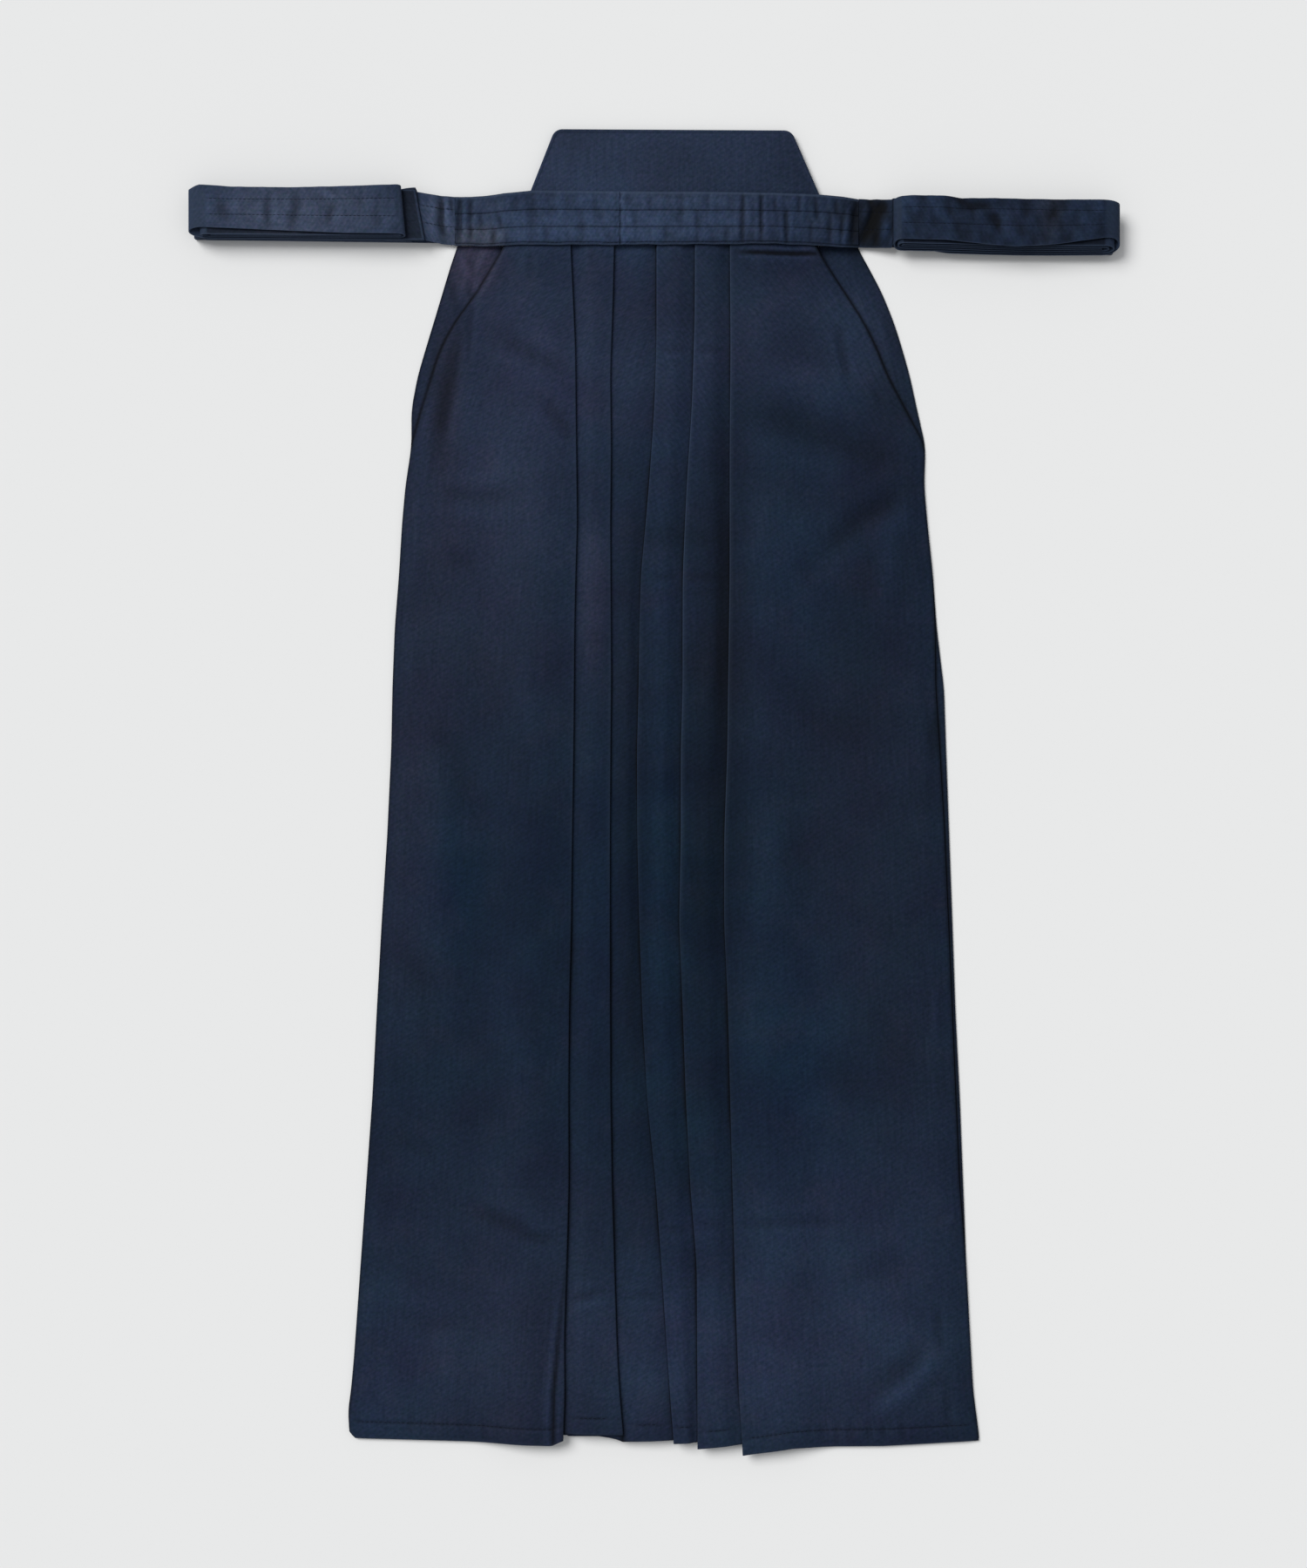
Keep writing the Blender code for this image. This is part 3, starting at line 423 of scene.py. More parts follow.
SECTION = sections_from_photo()
GROUND = named(GROUND_COLUMNS, GROUND_ROWS)
BAND = named(BAND_COLUMNS, BAND_ROWS)


def eased(share: Any) -> Any:
    """Soft rise from 0 to 1."""
    share = np.clip(share, 0.0, 1.0)
    return share * share * (3 - 2 * share)


def down(table: dict[str, np.ndarray], name: str, y: float, soften: float = 0.0) -> float:
    """Value of a column at y, for a table whose y falls from row to row.

    Args:
        table: Named columns, with y among them.
        name: The column that is read.
        y: Where it is read.
        soften: Half the stretch over which corners are rounded off.

    Returns:
        The value.
    """
    spread = np.linspace(-soften, soften, 5) if soften else np.zeros(1)
    return float(np.mean(np.interp(-(y + spread), -table["y"], table[name])))


def across(table: dict[str, np.ndarray], name: str, x: float) -> float:
    """Value of a column at x, for a table whose x rises."""
    return float(np.interp(x, table["x"], table[name]))


def edge_column(name: str, stations: np.ndarray, soften: float) -> np.ndarray:
    """Place across of an edge or fold at each station, as a column."""
    return np.array([[down(SECTION, name, float(value), soften)] for value in stations])


def hem_at(rows: Sequence[Pair], x: float) -> float:
    """Height of a hem at x.

    Args:
        rows: Corners of the hem.
        x: Where it is read.

    Returns:
        The height.
    """
    values = np.array(rows, float)
    order = np.argsort(values[:, 0])
    return float(np.interp(x, values[order, 0], values[order, 1]))


def crease_height(x: np.ndarray, y: np.ndarray, creases: Sequence[Crease]) -> np.ndarray:
    """Height that a list of creases adds at each point.

    Args:
        x: Places across the garment.
        y: Places along it.
        creases: Points along each crease, its width and its height.

    Returns:
        Millimetres up or down.
    """
    total = np.zeros_like(x)
    for points, width, height in creases:
        reach = 4 * width
        xs, ys = zip(*points)
        near = (x > min(xs) - reach) & (x < max(xs) + reach) & (y > min(ys) - reach) & (y < max(ys) + reach)
        if not near.any():
            continue
        px, py = x[near], y[near]
        distance, along, walked = np.full(px.shape, 1e9), np.zeros(px.shape), 0.0
        for (ax, ay), (bx, by) in zip(points[:-1], points[1:]):
            length = math.hypot(bx - ax, by - ay)
            share = np.clip(((px - ax) * (bx - ax) + (py - ay) * (by - ay)) / length**2, 0, 1)
            away = np.hypot(px - ax - share * (bx - ax), py - ay - share * (by - ay))
            along = np.where(away < distance, walked + share * length, along)
            distance, walked = np.minimum(distance, away), walked + length
        taper = 0.25 + 0.75 * eased(np.minimum(along, walked - along) / (0.3 * walked))
        shape = np.exp(-((distance / width) ** 2)) - 0.32 * np.exp(-(((distance - 1.9 * width) / width) ** 2))
        total[near] += height * shape * taper
    return total


def wave_height(
    x: np.ndarray, y: np.ndarray, shift: float, waves: Sequence[tuple[float, ...]] = WAVES
) -> np.ndarray:
    """Waves of the laid cloth.

    Args:
        x: Places across the garment.
        y: Places along it.
        shift: Added to every phase, in radians, so that two panels differ.
        waves: Wavelength, direction, phase and share of each wave.

    Returns:
        About -1 to 1 at each point.
    """
    total = np.zeros_like(x)
    for length, direction, phase, share in waves:
        angle = math.radians(direction)
        travel = x * math.cos(angle) + y * math.sin(angle)
        total += share * np.sin(2 * math.pi * travel / length + math.radians(phase) + shift)
    return total / 2.6


def tone_and_shade_at(x: np.ndarray, y: np.ndarray) -> tuple[np.ndarray, np.ndarray]:
    """Tone of the cloth with its painted light and shade, and its drift to plum at each point.

    Args:
        x: Places across the garment.
        y: Places along it.

    Returns:
        The factor on the brightness, painted light and shade included, and the drift.
    """
    tone, plum = np.ones_like(x), np.zeros_like(x)
    for place_x, place_y, reach_x, reach_y, change, drift in TONE_AND_SHADE_PATCHES:
        shape = np.exp(-((((x - place_x) / reach_x) ** 2 + ((y - place_y) / reach_y) ** 2) ** 1.6))
        tone *= 1 + change * shape
        plum += drift * shape
    return tone, np.clip(plum, -0.22, 1.0)


@dataclass
class Lay:
    """A sheet before it is a mesh.

    points: rows and columns of places of the middle of its wall.
    cloth: the same points on the flat cloth.
    wear_and_highlight: how worn the cloth is there, with painted highlights on fold and strap edges, 0 to 1.
    shade: painted shade and light of creases, folds, gaps, stitch grooves and edges, 1 where there is none.
    """

    points: np.ndarray
    cloth: np.ndarray
    wear_and_highlight: np.ndarray
    shade: np.ndarray

    def top(self, wall: float) -> np.ndarray:
        """Points of the face that looks up, half a wall above the middle."""
        return self.points + self.normals() * wall / 2

    def normals(self) -> np.ndarray:
        """Direction out of the cloth at each point.

        Returns:
            Unit vectors, turned upward.
        """
        rows = np.gradient(self.points, axis=0)
        columns = np.gradient(self.points, axis=1)
        normal = np.cross(rows, columns)
        normal /= np.maximum(np.linalg.norm(normal, axis=2, keepdims=True), 1e-9)
        return normal * np.where(normal[..., 2:] < 0, -1.0, 1.0)


def select_nothing() -> None:
    """Deselects everything, so that an operator acts on the new piece alone."""
    if bpy.context.object and bpy.context.object.mode != "OBJECT":
        bpy.ops.object.mode_set(mode="OBJECT")
    bpy.ops.object.select_all(action="DESELECT")


def write_looks(mesh: bpy.types.Mesh, wear_and_highlight: np.ndarray, tone: np.ndarray, plum: np.ndarray) -> None:
    """Writes the wear with painted highlights, the tone with painted light and shade, and the drift to plum
    of the cloth at each point, for its finish to read.

    Args:
        mesh: The piece's mesh.
        wear_and_highlight: How worn, with painted highlights, 0 to 1.
        tone: Factor on the brightness, from dye and pressing and from painted light and shade.
        plum: Drift to plum.
    """
    for attribute, values in (("wear_and_highlight", wear_and_highlight), ("tone", tone), ("plum", plum)):
        made = mesh.attributes.new(attribute, "FLOAT", "POINT")
        made.data.foreach_set("value", values.astype(np.float32).ravel())


def cloth_sheet(name: str, lay: Lay, wall: float, angle: float = 50.0) -> bpy.types.Object:
    """Makes a sheet of cloth from its laid points.

    Args:
        name: The piece's name.
        lay: Its points, their places on the flat cloth, their wear with painted highlights and their painted
            shade.
        wall: Thickness in millimetres.
        angle: Edges sharper than this many degrees stay sharp.

    Returns:
        The piece, with its wall applied.
    """
    rows, columns, _ = lay.points.shape
    select_nothing()
    bpy.ops.mesh.primitive_grid_add(x_subdivisions=columns - 1, y_subdivisions=rows - 1, size=1)
    piece = bpy.context.object
    piece.name = piece.data.name = name
    mesh = piece.data
    mesh.vertices.foreach_set("co", (lay.points * MM).astype(np.float32).ravel())
    corners = np.empty(len(mesh.loops), np.int32)
    mesh.loops.foreach_get("vertex_index", corners)
    flat = (lay.cloth * MM).reshape(-1, 2)[corners]
    mesh.uv_layers[0].data.foreach_set("uv", flat.astype(np.float32).ravel())
    tone, plum = tone_and_shade_at(lay.points[..., 0], lay.points[..., 1])
    write_looks(mesh, lay.wear_and_highlight, tone * lay.shade, plum)
    mesh.update()
    thick = piece.modifiers.new("Wall", "SOLIDIFY")
    thick.thickness = wall * MM
    thick.offset = 0.0
    thick.use_even_offset = True
    thick.use_quality_normals = True
    bpy.ops.object.modifier_apply(modifier=thick.name)
    bpy.ops.object.shade_smooth_by_angle(angle=math.radians(angle))
    return piece


def path_length(points: np.ndarray) -> np.ndarray:
    """Distance walked to each point of a row."""
    steps = np.linalg.norm(np.diff(points, axis=0), axis=1)
    return np.concatenate(([0.0], np.cumsum(steps)))


def srgb(code: str) -> tuple[float, float, float, float]:
    """Linear colour of an sRGB hex value.

    Args:
        code: The value, such as #102030.

    Returns:
        Red, green, blue and alpha.
    """
    parts = [int(code[index : index + 2], 16) / 255 for index in (1, 3, 5)]
    linear = [part / 12.92 if part <= 0.04045 else ((part + 0.055) / 1.055) ** 2.4 for part in parts]
    return (linear[0], linear[1], linear[2], 1.0)


def add_node(
    tree: bpy.types.NodeTree, kind: str, settings: dict[Any, Any], links: dict[Any, bpy.types.NodeSocket]
) -> bpy.types.Node:
    """Adds a node with its settings and links.

    Args:
        tree: The material's nodes.
        kind: Blender's name for the node.
        settings: Values, by property name, input name or input number.
        links: Outputs that feed it, by input name or number.

    Returns:
        The node.
    """
    node = tree.nodes.new(kind)
    for key, value in settings.items():
        if isinstance(key, int) or key in node.inputs:
            node.inputs[key].default_value = value
        else:
            setattr(node, key, value)
    for key, output in links.items():
        tree.links.new(output, node.inputs[key])
    return node


def blank_material(name: str) -> tuple[bpy.types.Material, bpy.types.NodeTree, bpy.types.Node]:
    """Makes a material with nodes.

    Args:
        name: Its name.

    Returns:
        The material, its nodes and its shader.
    """
    material = bpy.data.materials.new(name)
    material.use_nodes = True
    return material, material.node_tree, material.node_tree.nodes["Principled BSDF"]


@dataclass(frozen=True)
class TwillFinish:
    """Polyester and rayon twill, dyed navy in the piece and steam pressed: matt, with a soft sheen.

    name: Name of the material.
    deep: Bluest colour of the dye.
    navy: Greenest colour of the dye.
    plum: Colour toward which some patches drift.
    worn_highlight: Colour of fold edges, partly the shine of pressing and partly a painted highlight.
    roughness: Roughness of the flat cloth.
    """

    name: str
    deep: str = "#121a2d"
    navy: str = "#152435"
    plum: str = "#2a2a3b"
    worn_highlight: str = "#3f4d63"
    roughness: float = 0.78

    def made(self) -> bpy.types.Material:
        """Builds the material.

        Returns:
            The material.
        """
        material, tree, shader = blank_material(self.name)
        here = add_node(tree, "ShaderNodeTexCoord", {}, {}).outputs["Object"]
        flat = add_node(tree, "ShaderNodeUVMap", {"uv_map": "UVMap"}, {}).outputs["UV"]
        # Clouds of tone about 70 mm across, from uneven pressing
        clouds = add_node(
            tree, "ShaderNodeTexNoise", {"Scale": 15.0, "Detail": 3.0, "Roughness": 0.55}, {"Vector": here}
        )
        hue = add_node(
            tree, "ShaderNodeTexNoise", {"Scale": 34.0, "Detail": 4.0, "Roughness": 0.6}, {"Vector": here}
        )
        # Warp threads are 0.3 mm apart: drawn as streaks about 2 mm wide, because single ones can't show
        warp_place = add_node(
            tree, "ShaderNodeMapping", {"Scale": (520.0, 26.0, 1.0)}, {"Vector": flat}
        )
        warp = add_node(
            tree, "ShaderNodeTexNoise", {"Scale": 1.0, "Detail": 2.0, "Roughness": 0.5},
            {"Vector": warp_place.outputs["Vector"]},
        )
        # Slubs and specks of the yarn, about 3 mm
        specks = add_node(
            tree, "ShaderNodeTexNoise", {"Scale": 330.0, "Detail": 2.0, "Roughness": 0.6}, {"Vector": flat}
        )
        # Twill ribs are 0.6 mm apart: drawn at 1.5 mm so that they show
        twill_place = add_node(
            tree, "ShaderNodeMapping", {"Rotation": (0.0, 0.0, math.radians(58))}, {"Vector": flat}
        )
        twill = add_node(
            tree,
            "ShaderNodeTexWave",
            {"Scale": 105.0, "Distortion": 1.2, "Detail": 1.0, "Detail Scale": 2.0},
            {"Vector": twill_place.outputs["Vector"]},
        )
        drift = add_node(tree, "ShaderNodeAttribute", {"attribute_name": "plum"}, {})
        cloud_share = add_node(
            tree, "ShaderNodeMapRange", {"From Min": 0.25, "From Max": 0.75, "To Min": 0.0, "To Max": 1.0},
            {"Value": clouds.outputs["Fac"]},
        )
        tone = add_node(
            tree, "ShaderNodeMix", {"data_type": "RGBA", 6: srgb(self.deep), 7: srgb(self.navy)},
            {0: cloud_share.outputs["Result"]},
        )
        # Small drifts to plum, on top of those that the piece's own attribute gives
        hue_share = add_node(
            tree, "ShaderNodeMapRange", {"From Min": 0.5, "From Max": 0.75, "To Min": 0.0, "To Max": 0.18},
            {"Value": hue.outputs["Fac"]},
        )
        plum_share = add_node(
            tree, "ShaderNodeMath", {"operation": "ADD"},
            {0: drift.outputs["Fac"], 1: hue_share.outputs["Result"]},
        )
        tinted = add_node(
            tree, "ShaderNodeMix", {"data_type": "RGBA", "clamp_factor": False, 7: srgb(self.plum)},
            {0: plum_share.outputs["Value"], 6: tone.outputs[2]},
        )
        streaks = add_node(
            tree, "ShaderNodeMapRange", {"From Min": 0.25, "From Max": 0.75, "To Min": 0.9, "To Max": 1.1},
            {"Value": warp.outputs["Fac"]},
        )
        grain = add_node(
            tree, "ShaderNodeMapRange", {"From Min": 0.25, "From Max": 0.75, "To Min": 0.77, "To Max": 1.23},
            {"Value": specks.outputs["Fac"]},
        )
        # Specks lean to teal and to violet, as dyed mixed yarn does
        flecks = add_node(
            tree,
            "ShaderNodeMapRange",
            {
                "data_type": "FLOAT_VECTOR", "From Min": (0.3,) * 3, "From Max": (0.7,) * 3,
                "To Min": (0.85, 0.93, 0.93), "To Max": (1.15, 1.07, 1.07),
            },
            {"Vector": specks.outputs["Color"]},
        )
        ribs = add_node(
            tree, "ShaderNodeMapRange", {"To Min": 0.95, "To Max": 1.05}, {"Value": twill.outputs["Fac"]}
        )
        strength = add_node(
            tree, "ShaderNodeMath", {"operation": "MULTIPLY"},
            {0: streaks.outputs["Result"], 1: grain.outputs["Result"]},
        )
        woven = add_node(
            tree, "ShaderNodeMath", {"operation": "MULTIPLY"},
            {0: strength.outputs["Value"], 1: ribs.outputs["Result"]},
        )
        # The tone attribute carries dye and pressing tone together with painted light and shade
        shade = add_node(tree, "ShaderNodeAttribute", {"attribute_name": "tone"}, {})
        # Clouds of brightness about 50 mm across, moved away from those of the tone
        patch_place = add_node(tree, "ShaderNodeMapping", {"Location": (3.1, 7.7, 0.4)}, {"Vector": here})
        patches = add_node(
            tree, "ShaderNodeTexNoise", {"Scale": 22.0, "Detail": 2.0, "Roughness": 0.5},
            {"Vector": patch_place.outputs["Vector"]},
        )
        cloudy = add_node(
            tree, "ShaderNodeMapRange", {"From Min": 0.25, "From Max": 0.75, "To Min": 0.9, "To Max": 1.1},
            {"Value": patches.outputs["Fac"]},
        )
        toned = add_node(
            tree, "ShaderNodeMath", {"operation": "MULTIPLY"},
            {0: shade.outputs["Fac"], 1: cloudy.outputs["Result"]},
        )
        full = add_node(
            tree, "ShaderNodeMath", {"operation": "MULTIPLY"},
            {0: woven.outputs["Value"], 1: toned.outputs["Value"]},
        )
        flecked = add_node(
            tree, "ShaderNodeVectorMath", {"operation": "MULTIPLY"},
            {0: tinted.outputs[2], 1: flecks.outputs["Vector"]},
        )
        coloured = add_node(
            tree, "ShaderNodeVectorMath", {"operation": "SCALE"},
            {0: flecked.outputs["Vector"], "Scale": full.outputs["Value"]},
        )
        # Fold and strap edges mix toward the lighter colour: pressing shine and a painted highlight
        edge = add_node(tree, "ShaderNodeAttribute", {"attribute_name": "wear_and_highlight"}, {})
        final = add_node(
            tree,
            "ShaderNodeMix",
            {"data_type": "RGBA", 7: srgb(self.worn_highlight)},
            {0: edge.outputs["Fac"], 6: coloured.outputs["Vector"]},
        )
        gloss = add_node(
            tree, "ShaderNodeMapRange", {"To Min": self.roughness, "To Max": self.roughness - 0.2},
            {"Value": edge.outputs["Fac"]},
        )
        crumple_place = add_node(
            tree, "ShaderNodeMapping", {"Scale": (70.0, 34.0, 1.0)}, {"Vector": flat}
        )
        crumple = add_node(
            tree, "ShaderNodeTexNoise", {"Scale": 1.0, "Detail": 3.0, "Roughness": 0.55},
            {"Vector": crumple_place.outputs["Vector"]},
        )
        soft = add_node(
            tree, "ShaderNodeBump", {"Strength": 0.5, "Distance": 0.0012}, {"Height": crumple.outputs["Fac"]}
        )
        threads = add_node(
            tree, "ShaderNodeBump", {"Strength": 0.35, "Distance": 0.0002},
            {"Height": warp.outputs["Fac"], "Normal": soft.outputs["Normal"]},
        )
        bump = add_node(
            tree, "ShaderNodeBump", {"Strength": 0.4, "Distance": 0.0001},
            {"Height": twill.outputs["Fac"], "Normal": threads.outputs["Normal"]},
        )
        for socket, value in (
            ("IOR", 1.45), ("Specular IOR Level", 0.12), ("Sheen Weight", 0.05), ("Sheen Roughness", 0.45),
            ("Sheen Tint", srgb("#93a6c4")),
        ):
            shader.inputs[socket].default_value = value
        tree.links.new(final.outputs[2], shader.inputs["Base Color"])
        tree.links.new(gloss.outputs["Result"], shader.inputs["Roughness"])
        tree.links.new(bump.outputs["Normal"], shader.inputs["Normal"])
        return material


@dataclass(frozen=True)
class ThreadFinish:
    """Spun polyester sewing thread, darker than the cloth, with a faint gloss."""

    name: str = "sewing_thread"
    colour: str = "#0a0f1a"
    roughness: float = 0.8

    def made(self) -> bpy.types.Material:
        """Builds the material.

        Returns:
            The material.
        """
        material, tree, shader = blank_material(self.name)
        place = add_node(tree, "ShaderNodeTexCoord", {}, {})
        # Twist of the plies, drawn at 0.5 mm
        twist = add_node(tree, "ShaderNodeTexNoise", {"Scale": 2000.0}, {"Vector": place.outputs["Object"]})
        tone = add_node(
            tree,
            "ShaderNodeMix",
            {"data_type": "RGBA", 6: srgb(self.colour), 7: srgb("#121a29")},
            {0: twist.outputs["Fac"]},
        )
        tree.links.new(tone.outputs[2], shader.inputs["Base Color"])
        shader.inputs["Roughness"].default_value = self.roughness
        shader.inputs["Specular IOR Level"].default_value = 0.1
        return material


@dataclass(frozen=True)
class FloorFinish:
    """Seamless studio paper, pale grey and matt."""

    name: str = "studio_paper"
    colour: str = "#ebebea"

    def made(self) -> bpy.types.Material:
        """Builds the material.

        Returns:
            The material.
        """
        material, _, shader = blank_material(self.name)
        shader.inputs["Base Color"].default_value = srgb(self.colour)
        shader.inputs["Roughness"].default_value = 0.95
        shader.inputs["Specular IOR Level"].default_value = 0.1
        return material


@dataclass
class Path:
    """A section being walked, one run after another.

    rows: the runs so far, each point with its u, z, strip, freedom to lift, and wear with painted highlight.
    """

    rows: list[np.ndarray]

    def run(self, start: Pair, stop: Pair, count: int, strip: int, free: Pair) -> None:
        """Walks straight across, easing from one height to the other.

        Args:
            start: First u and z.
            stop: Last u and z, which the next run starts with.
            count: Points on the way.
            strip: Number of the strip between folds.
            free: Freedom to lift at the start and at the end.
        """
        share = np.linspace(0, 1, count + 1)[:-1]
        u = start[0] + (stop[0] - start[0]) * share
        z = start[1] + (stop[1] - start[1]) * eased(share)
        lift = free[0] + (free[1] - free[0]) * eased(share)
        self.rows.append(np.stack([u, z, np.full(count, strip), lift, np.zeros(count)], axis=1))

    def fold(
        self, centre: float, z: float, step: float, count: int, strips: Pair, free: Pair, wear_and_highlight: float
    ) -> None:
        """Walks round a fold edge.

        Args:
            centre: u of the arc's middle.
            z: Height at which it starts.
            step: Height change of the fold.
            count: Points on the way.
            strips: Number of the strip before and after.
            free: Freedom to lift before and after.
            wear_and_highlight: Wear and painted highlight of the edge. Below zero, the fold turns toward the
                side edge.
        """
        angle = np.linspace(0, math.pi, count + 1)[:-1]
        reach = abs(step) / 2 * (1 if wear_and_highlight >= 0 else -1)
        share = eased(angle / math.pi)
        strip = np.where(share < 0.5, strips[0], strips[1])
        lift = free[0] + (free[1] - free[0]) * share
        rubbed_and_highlight = abs(wear_and_highlight) * np.exp(-(((angle - 0.9) / 0.8) ** 2))
        u, height = centre + reach * np.sin(angle), z + step * (1 - np.cos(angle)) / 2
        self.rows.append(np.stack([u, height, strip, lift, rubbed_and_highlight], axis=1))

    def end(self, point: Pair, strip: int, free: float) -> np.ndarray:
        """Adds the last point and gives the whole section."""
        self.rows.append(np.array([[point[0], point[1], strip, free, 0.0]]))
        return np.concatenate(self.rows)


@dataclass
class FrontPanel:
    """One front panel, with its knife pleats and turned-up hem.

    sign: 1 for the left leg and -1 for the right.
    edge: column of its side edge.
    folds: columns of its folds, from the side to the middle.
    seam_shift: how far its last edge lies past fold_3.
    hems: hem of each strip, from the side to the middle.
    flat, area: size of its sheet laid open, in metres and square metres; not used.
    rest_count: points across the part that lies on the back.
    shift: shift of its waves, in radians.
    underlap: cloth hidden under the first fold.
    strip_ramp, ramp_start, ramp_end: room for a strip to climb to the layer above.
    drape: stretch over which the main strip comes down from the stack.
    base_lift, wave: mean height and swing of its waves.
    layer: pitch of its layers.
    gap_reach, gap_dark, gap_shadow: width and depth of the painted shade in the gap beside a fold, and of the
    soft painted shade past it.
    rubbed_and_highlight: wear and painted highlight of each fold.
    """

    name: str
    sign: float
    edge: str
    folds: tuple[str, ...]
    seam_shift: float
    hems: tuple[tuple[Pair, ...], ...]
    flat: Pair
    area: float
    rest_count: int
    shift: float
    underlap: float = 22.0
    strip_ramp: float = 19.0
    ramp_start: float = 1.5
    ramp_end: float = 3.0
    drape: float = 48.0
    base_lift: float = 1.2
    wave: float = 0.55
    layer: float = 1.1
    gap_reach: float = 0.95
    gap_dark: float = 0.65
    gap_shadow: float = 0.0
    rubbed_and_highlight: tuple[float, ...] = (0.3, 0.3)

    def section(self, y: float) -> np.ndarray:
        """Section of the panel.

        Args:
            y: Where it is taken.

        Returns:
            u, z, strip, freedom to lift, and wear with painted highlight of each point.
        """
        middle, side = down(GROUND, "middle", y, GROUND_SOFTEN), down(GROUND, "side", y, GROUND_SOFTEN)
        edge = self.sign * down(SECTION, self.edge, y, EDGE_SOFTEN)
        folds = [self.sign * down(SECTION, name, y, FOLD_SOFTEN) for name in self.folds]
        end = self.sign * (down(SECTION, "fold_3", y, FOLD_SOFTEN) + self.seam_shift)
        low, rest = middle + 0.5, side + 0.5
        high = low + 2 * self.layer
        gaps = np.diff(folds)
        underlaps = [self.underlap] + [max(0.36 * gap, gap - self.strip_ramp) for gap in gaps]
        radius = self.layer / 2
        top = folds[0] - underlaps[0] - self.ramp_end
        drape = min(self.drape, 0.75 * (top - edge))
        settle = top - drape
        calm = min(14.0, 0.6 * (settle - edge))
        path = Path([])
        path.run((edge, rest - 0.35), (edge + 0.16 * calm, rest), 3, 0, (0.0, 0.05))
        path.run((edge + 0.16 * calm, rest), (edge + calm, rest), 5, 0, (0.05, 1.0))
        path.run((edge + calm, rest), (settle, rest), self.rest_count, 0, (1.0, 1.0))
        path.run((settle, rest), (top, high), 18, 0, (1.0, 1.0))
        for strip, (fold, underlap) in enumerate(zip(folds, underlaps)):
            climbed = fold - underlap - self.ramp_end
            if strip:
                path.run((folds[strip - 1] + self.ramp_start, low), (climbed, high), 7, strip, (0.0, 0.5))
                path.run((climbed, high), (fold - radius, high), 6, strip, (0.5, 0.14))
            else:
                path.run((top, high), (fold - radius, high), 14 if self.sign > 0 else 9, strip, (1.0, 0.16))
            free = 0.14 if strip else 0.16
            path.fold(fold - radius, high, -self.layer, 7, (strip, strip), (free, 0.0), self.rubbed_and_highlight[strip])
            turn, inner = fold - underlap + radius, high - self.layer
            path.run((fold - radius, inner), (turn, inner), 4, strip, (0.0, 0.0))
            path.fold(turn, inner, -self.layer, 4, (strip, strip + 1), (0.0, 0.0), -0.001)
            path.run((turn, low), (fold + 0.2, low), 5, strip + 1, (0.0, 0.0))
            path.run((fold + 0.2, low), (fold + self.ramp_start, low), 2, strip + 1, (0.0, 0.0))
        last = len(folds)
        start = folds[-1] + self.ramp_start
        if self.sign > 0:
            path.run((start, low), ((start + end) / 2, low + 0.5), 7, last, (0.0, 0.55))
            path.run(((start + end) / 2, low + 0.5), (end - 5.0, low), 5, last, (0.55, 0.0))
            path.run((end - 5.0, low), (end, low), 8, last, (0.0, 0.0))
        else:
            # the right leg's seam lies under its last fold, where its lowest layer ends
            path.rows = path.rows[:-2] + [path.rows[-2][:1]]
        return path.end((end, low), last, 0.0)

    def hem_row(self, section: np.ndarray) -> np.ndarray:
        """Height of the hem at each point of a section, a little higher where it is hidden.

        Args:
            section: The section at the hem.

        Returns:
            y at each point.
        """
        x = self.sign * section[:, 0]
        strips = section[:, 2].astype(int)
        hem = np.array([hem_at(self.hems[strip], value) for strip, value in zip(strips, x)])
        return hem + HIDDEN_HEM_LIFT * self.hidden(section)

    @staticmethod
    def hidden(section: np.ndarray) -> np.ndarray:
        """Tells which points of a section lie under a fold.

        Args:
            section: The section.

        Returns:
            1 where a point is hidden, 0 where it shows.
        """
        u = section[:, 0]
        shown = np.zeros(len(u))
        best = -1e9
        for index, value in enumerate(u):
            if value > best - 0.7:
                shown[index] = 1.0
            best = max(best, value)
        soft = np.convolve(np.pad(1 - shown, 1, mode="edge"), (0.25, 0.5, 0.25), mode="valid")
        return np.where(shown > 0, 0.0, soft)

    def lay(self) -> Lay:
        """Works out every point of the panel.

        Returns:
            The laid sheet.
        """
        stations = np.concatenate(
            (
                np.linspace(423.0, 397.0, 25), np.linspace(397.0, -470.0, 260)[1:],
                np.linspace(-470.0, -488.0, 14)[1:], np.linspace(-488.0, HEM_Y, 6)[1:],
            )
        )
        points, cloth, wear_and_highlight, free = [], [], [], []
        last = self.hem_row(self.section(HEM_Y))
        for y in stations:
            section = self.section(float(y))
            share = max(0.0, (HEM_BLEND_TOP - y) / (HEM_BLEND_TOP - HEM_Y))
            real = y + (last - HEM_Y) * share if share else np.full(len(section), y)
            row = np.stack([self.sign * section[:, 0], real, section[:, 1]], axis=1)
            walked = path_length(section[:, :2])
            first = int(np.argmax(section[:, 4] > 0.3))
            points.append(row)
            cloth.append(np.stack([self.sign * (walked - walked[first]), real], axis=1))
            wear_and_highlight.append(section[:, 4])
            free.append(section[:, 3])
        points, cloth, wear_and_highlight, free = np.array(points), np.array(cloth), np.array(wear_and_highlight), np.array(free)
        x, y = points[..., 0], points[..., 1]
        above_hem = y - last[None, :]
        calm = eased((412.5 - y) / 6.0) * (0.45 + 0.55 * eased(above_hem / 9.0))
        creased = crease_height(x, y, FRONT_CREASES)
        lift = self.base_lift + self.wave * wave_height(x, y, self.shift) + creased
        lift = np.where(lift < 0.45, 0.1 + 0.35 * np.exp(np.minimum(lift - 0.45, 0.0) / 0.35), lift)
        shown = (free > 0.02).astype(float)
        seen = np.minimum(1.0, free * 3)
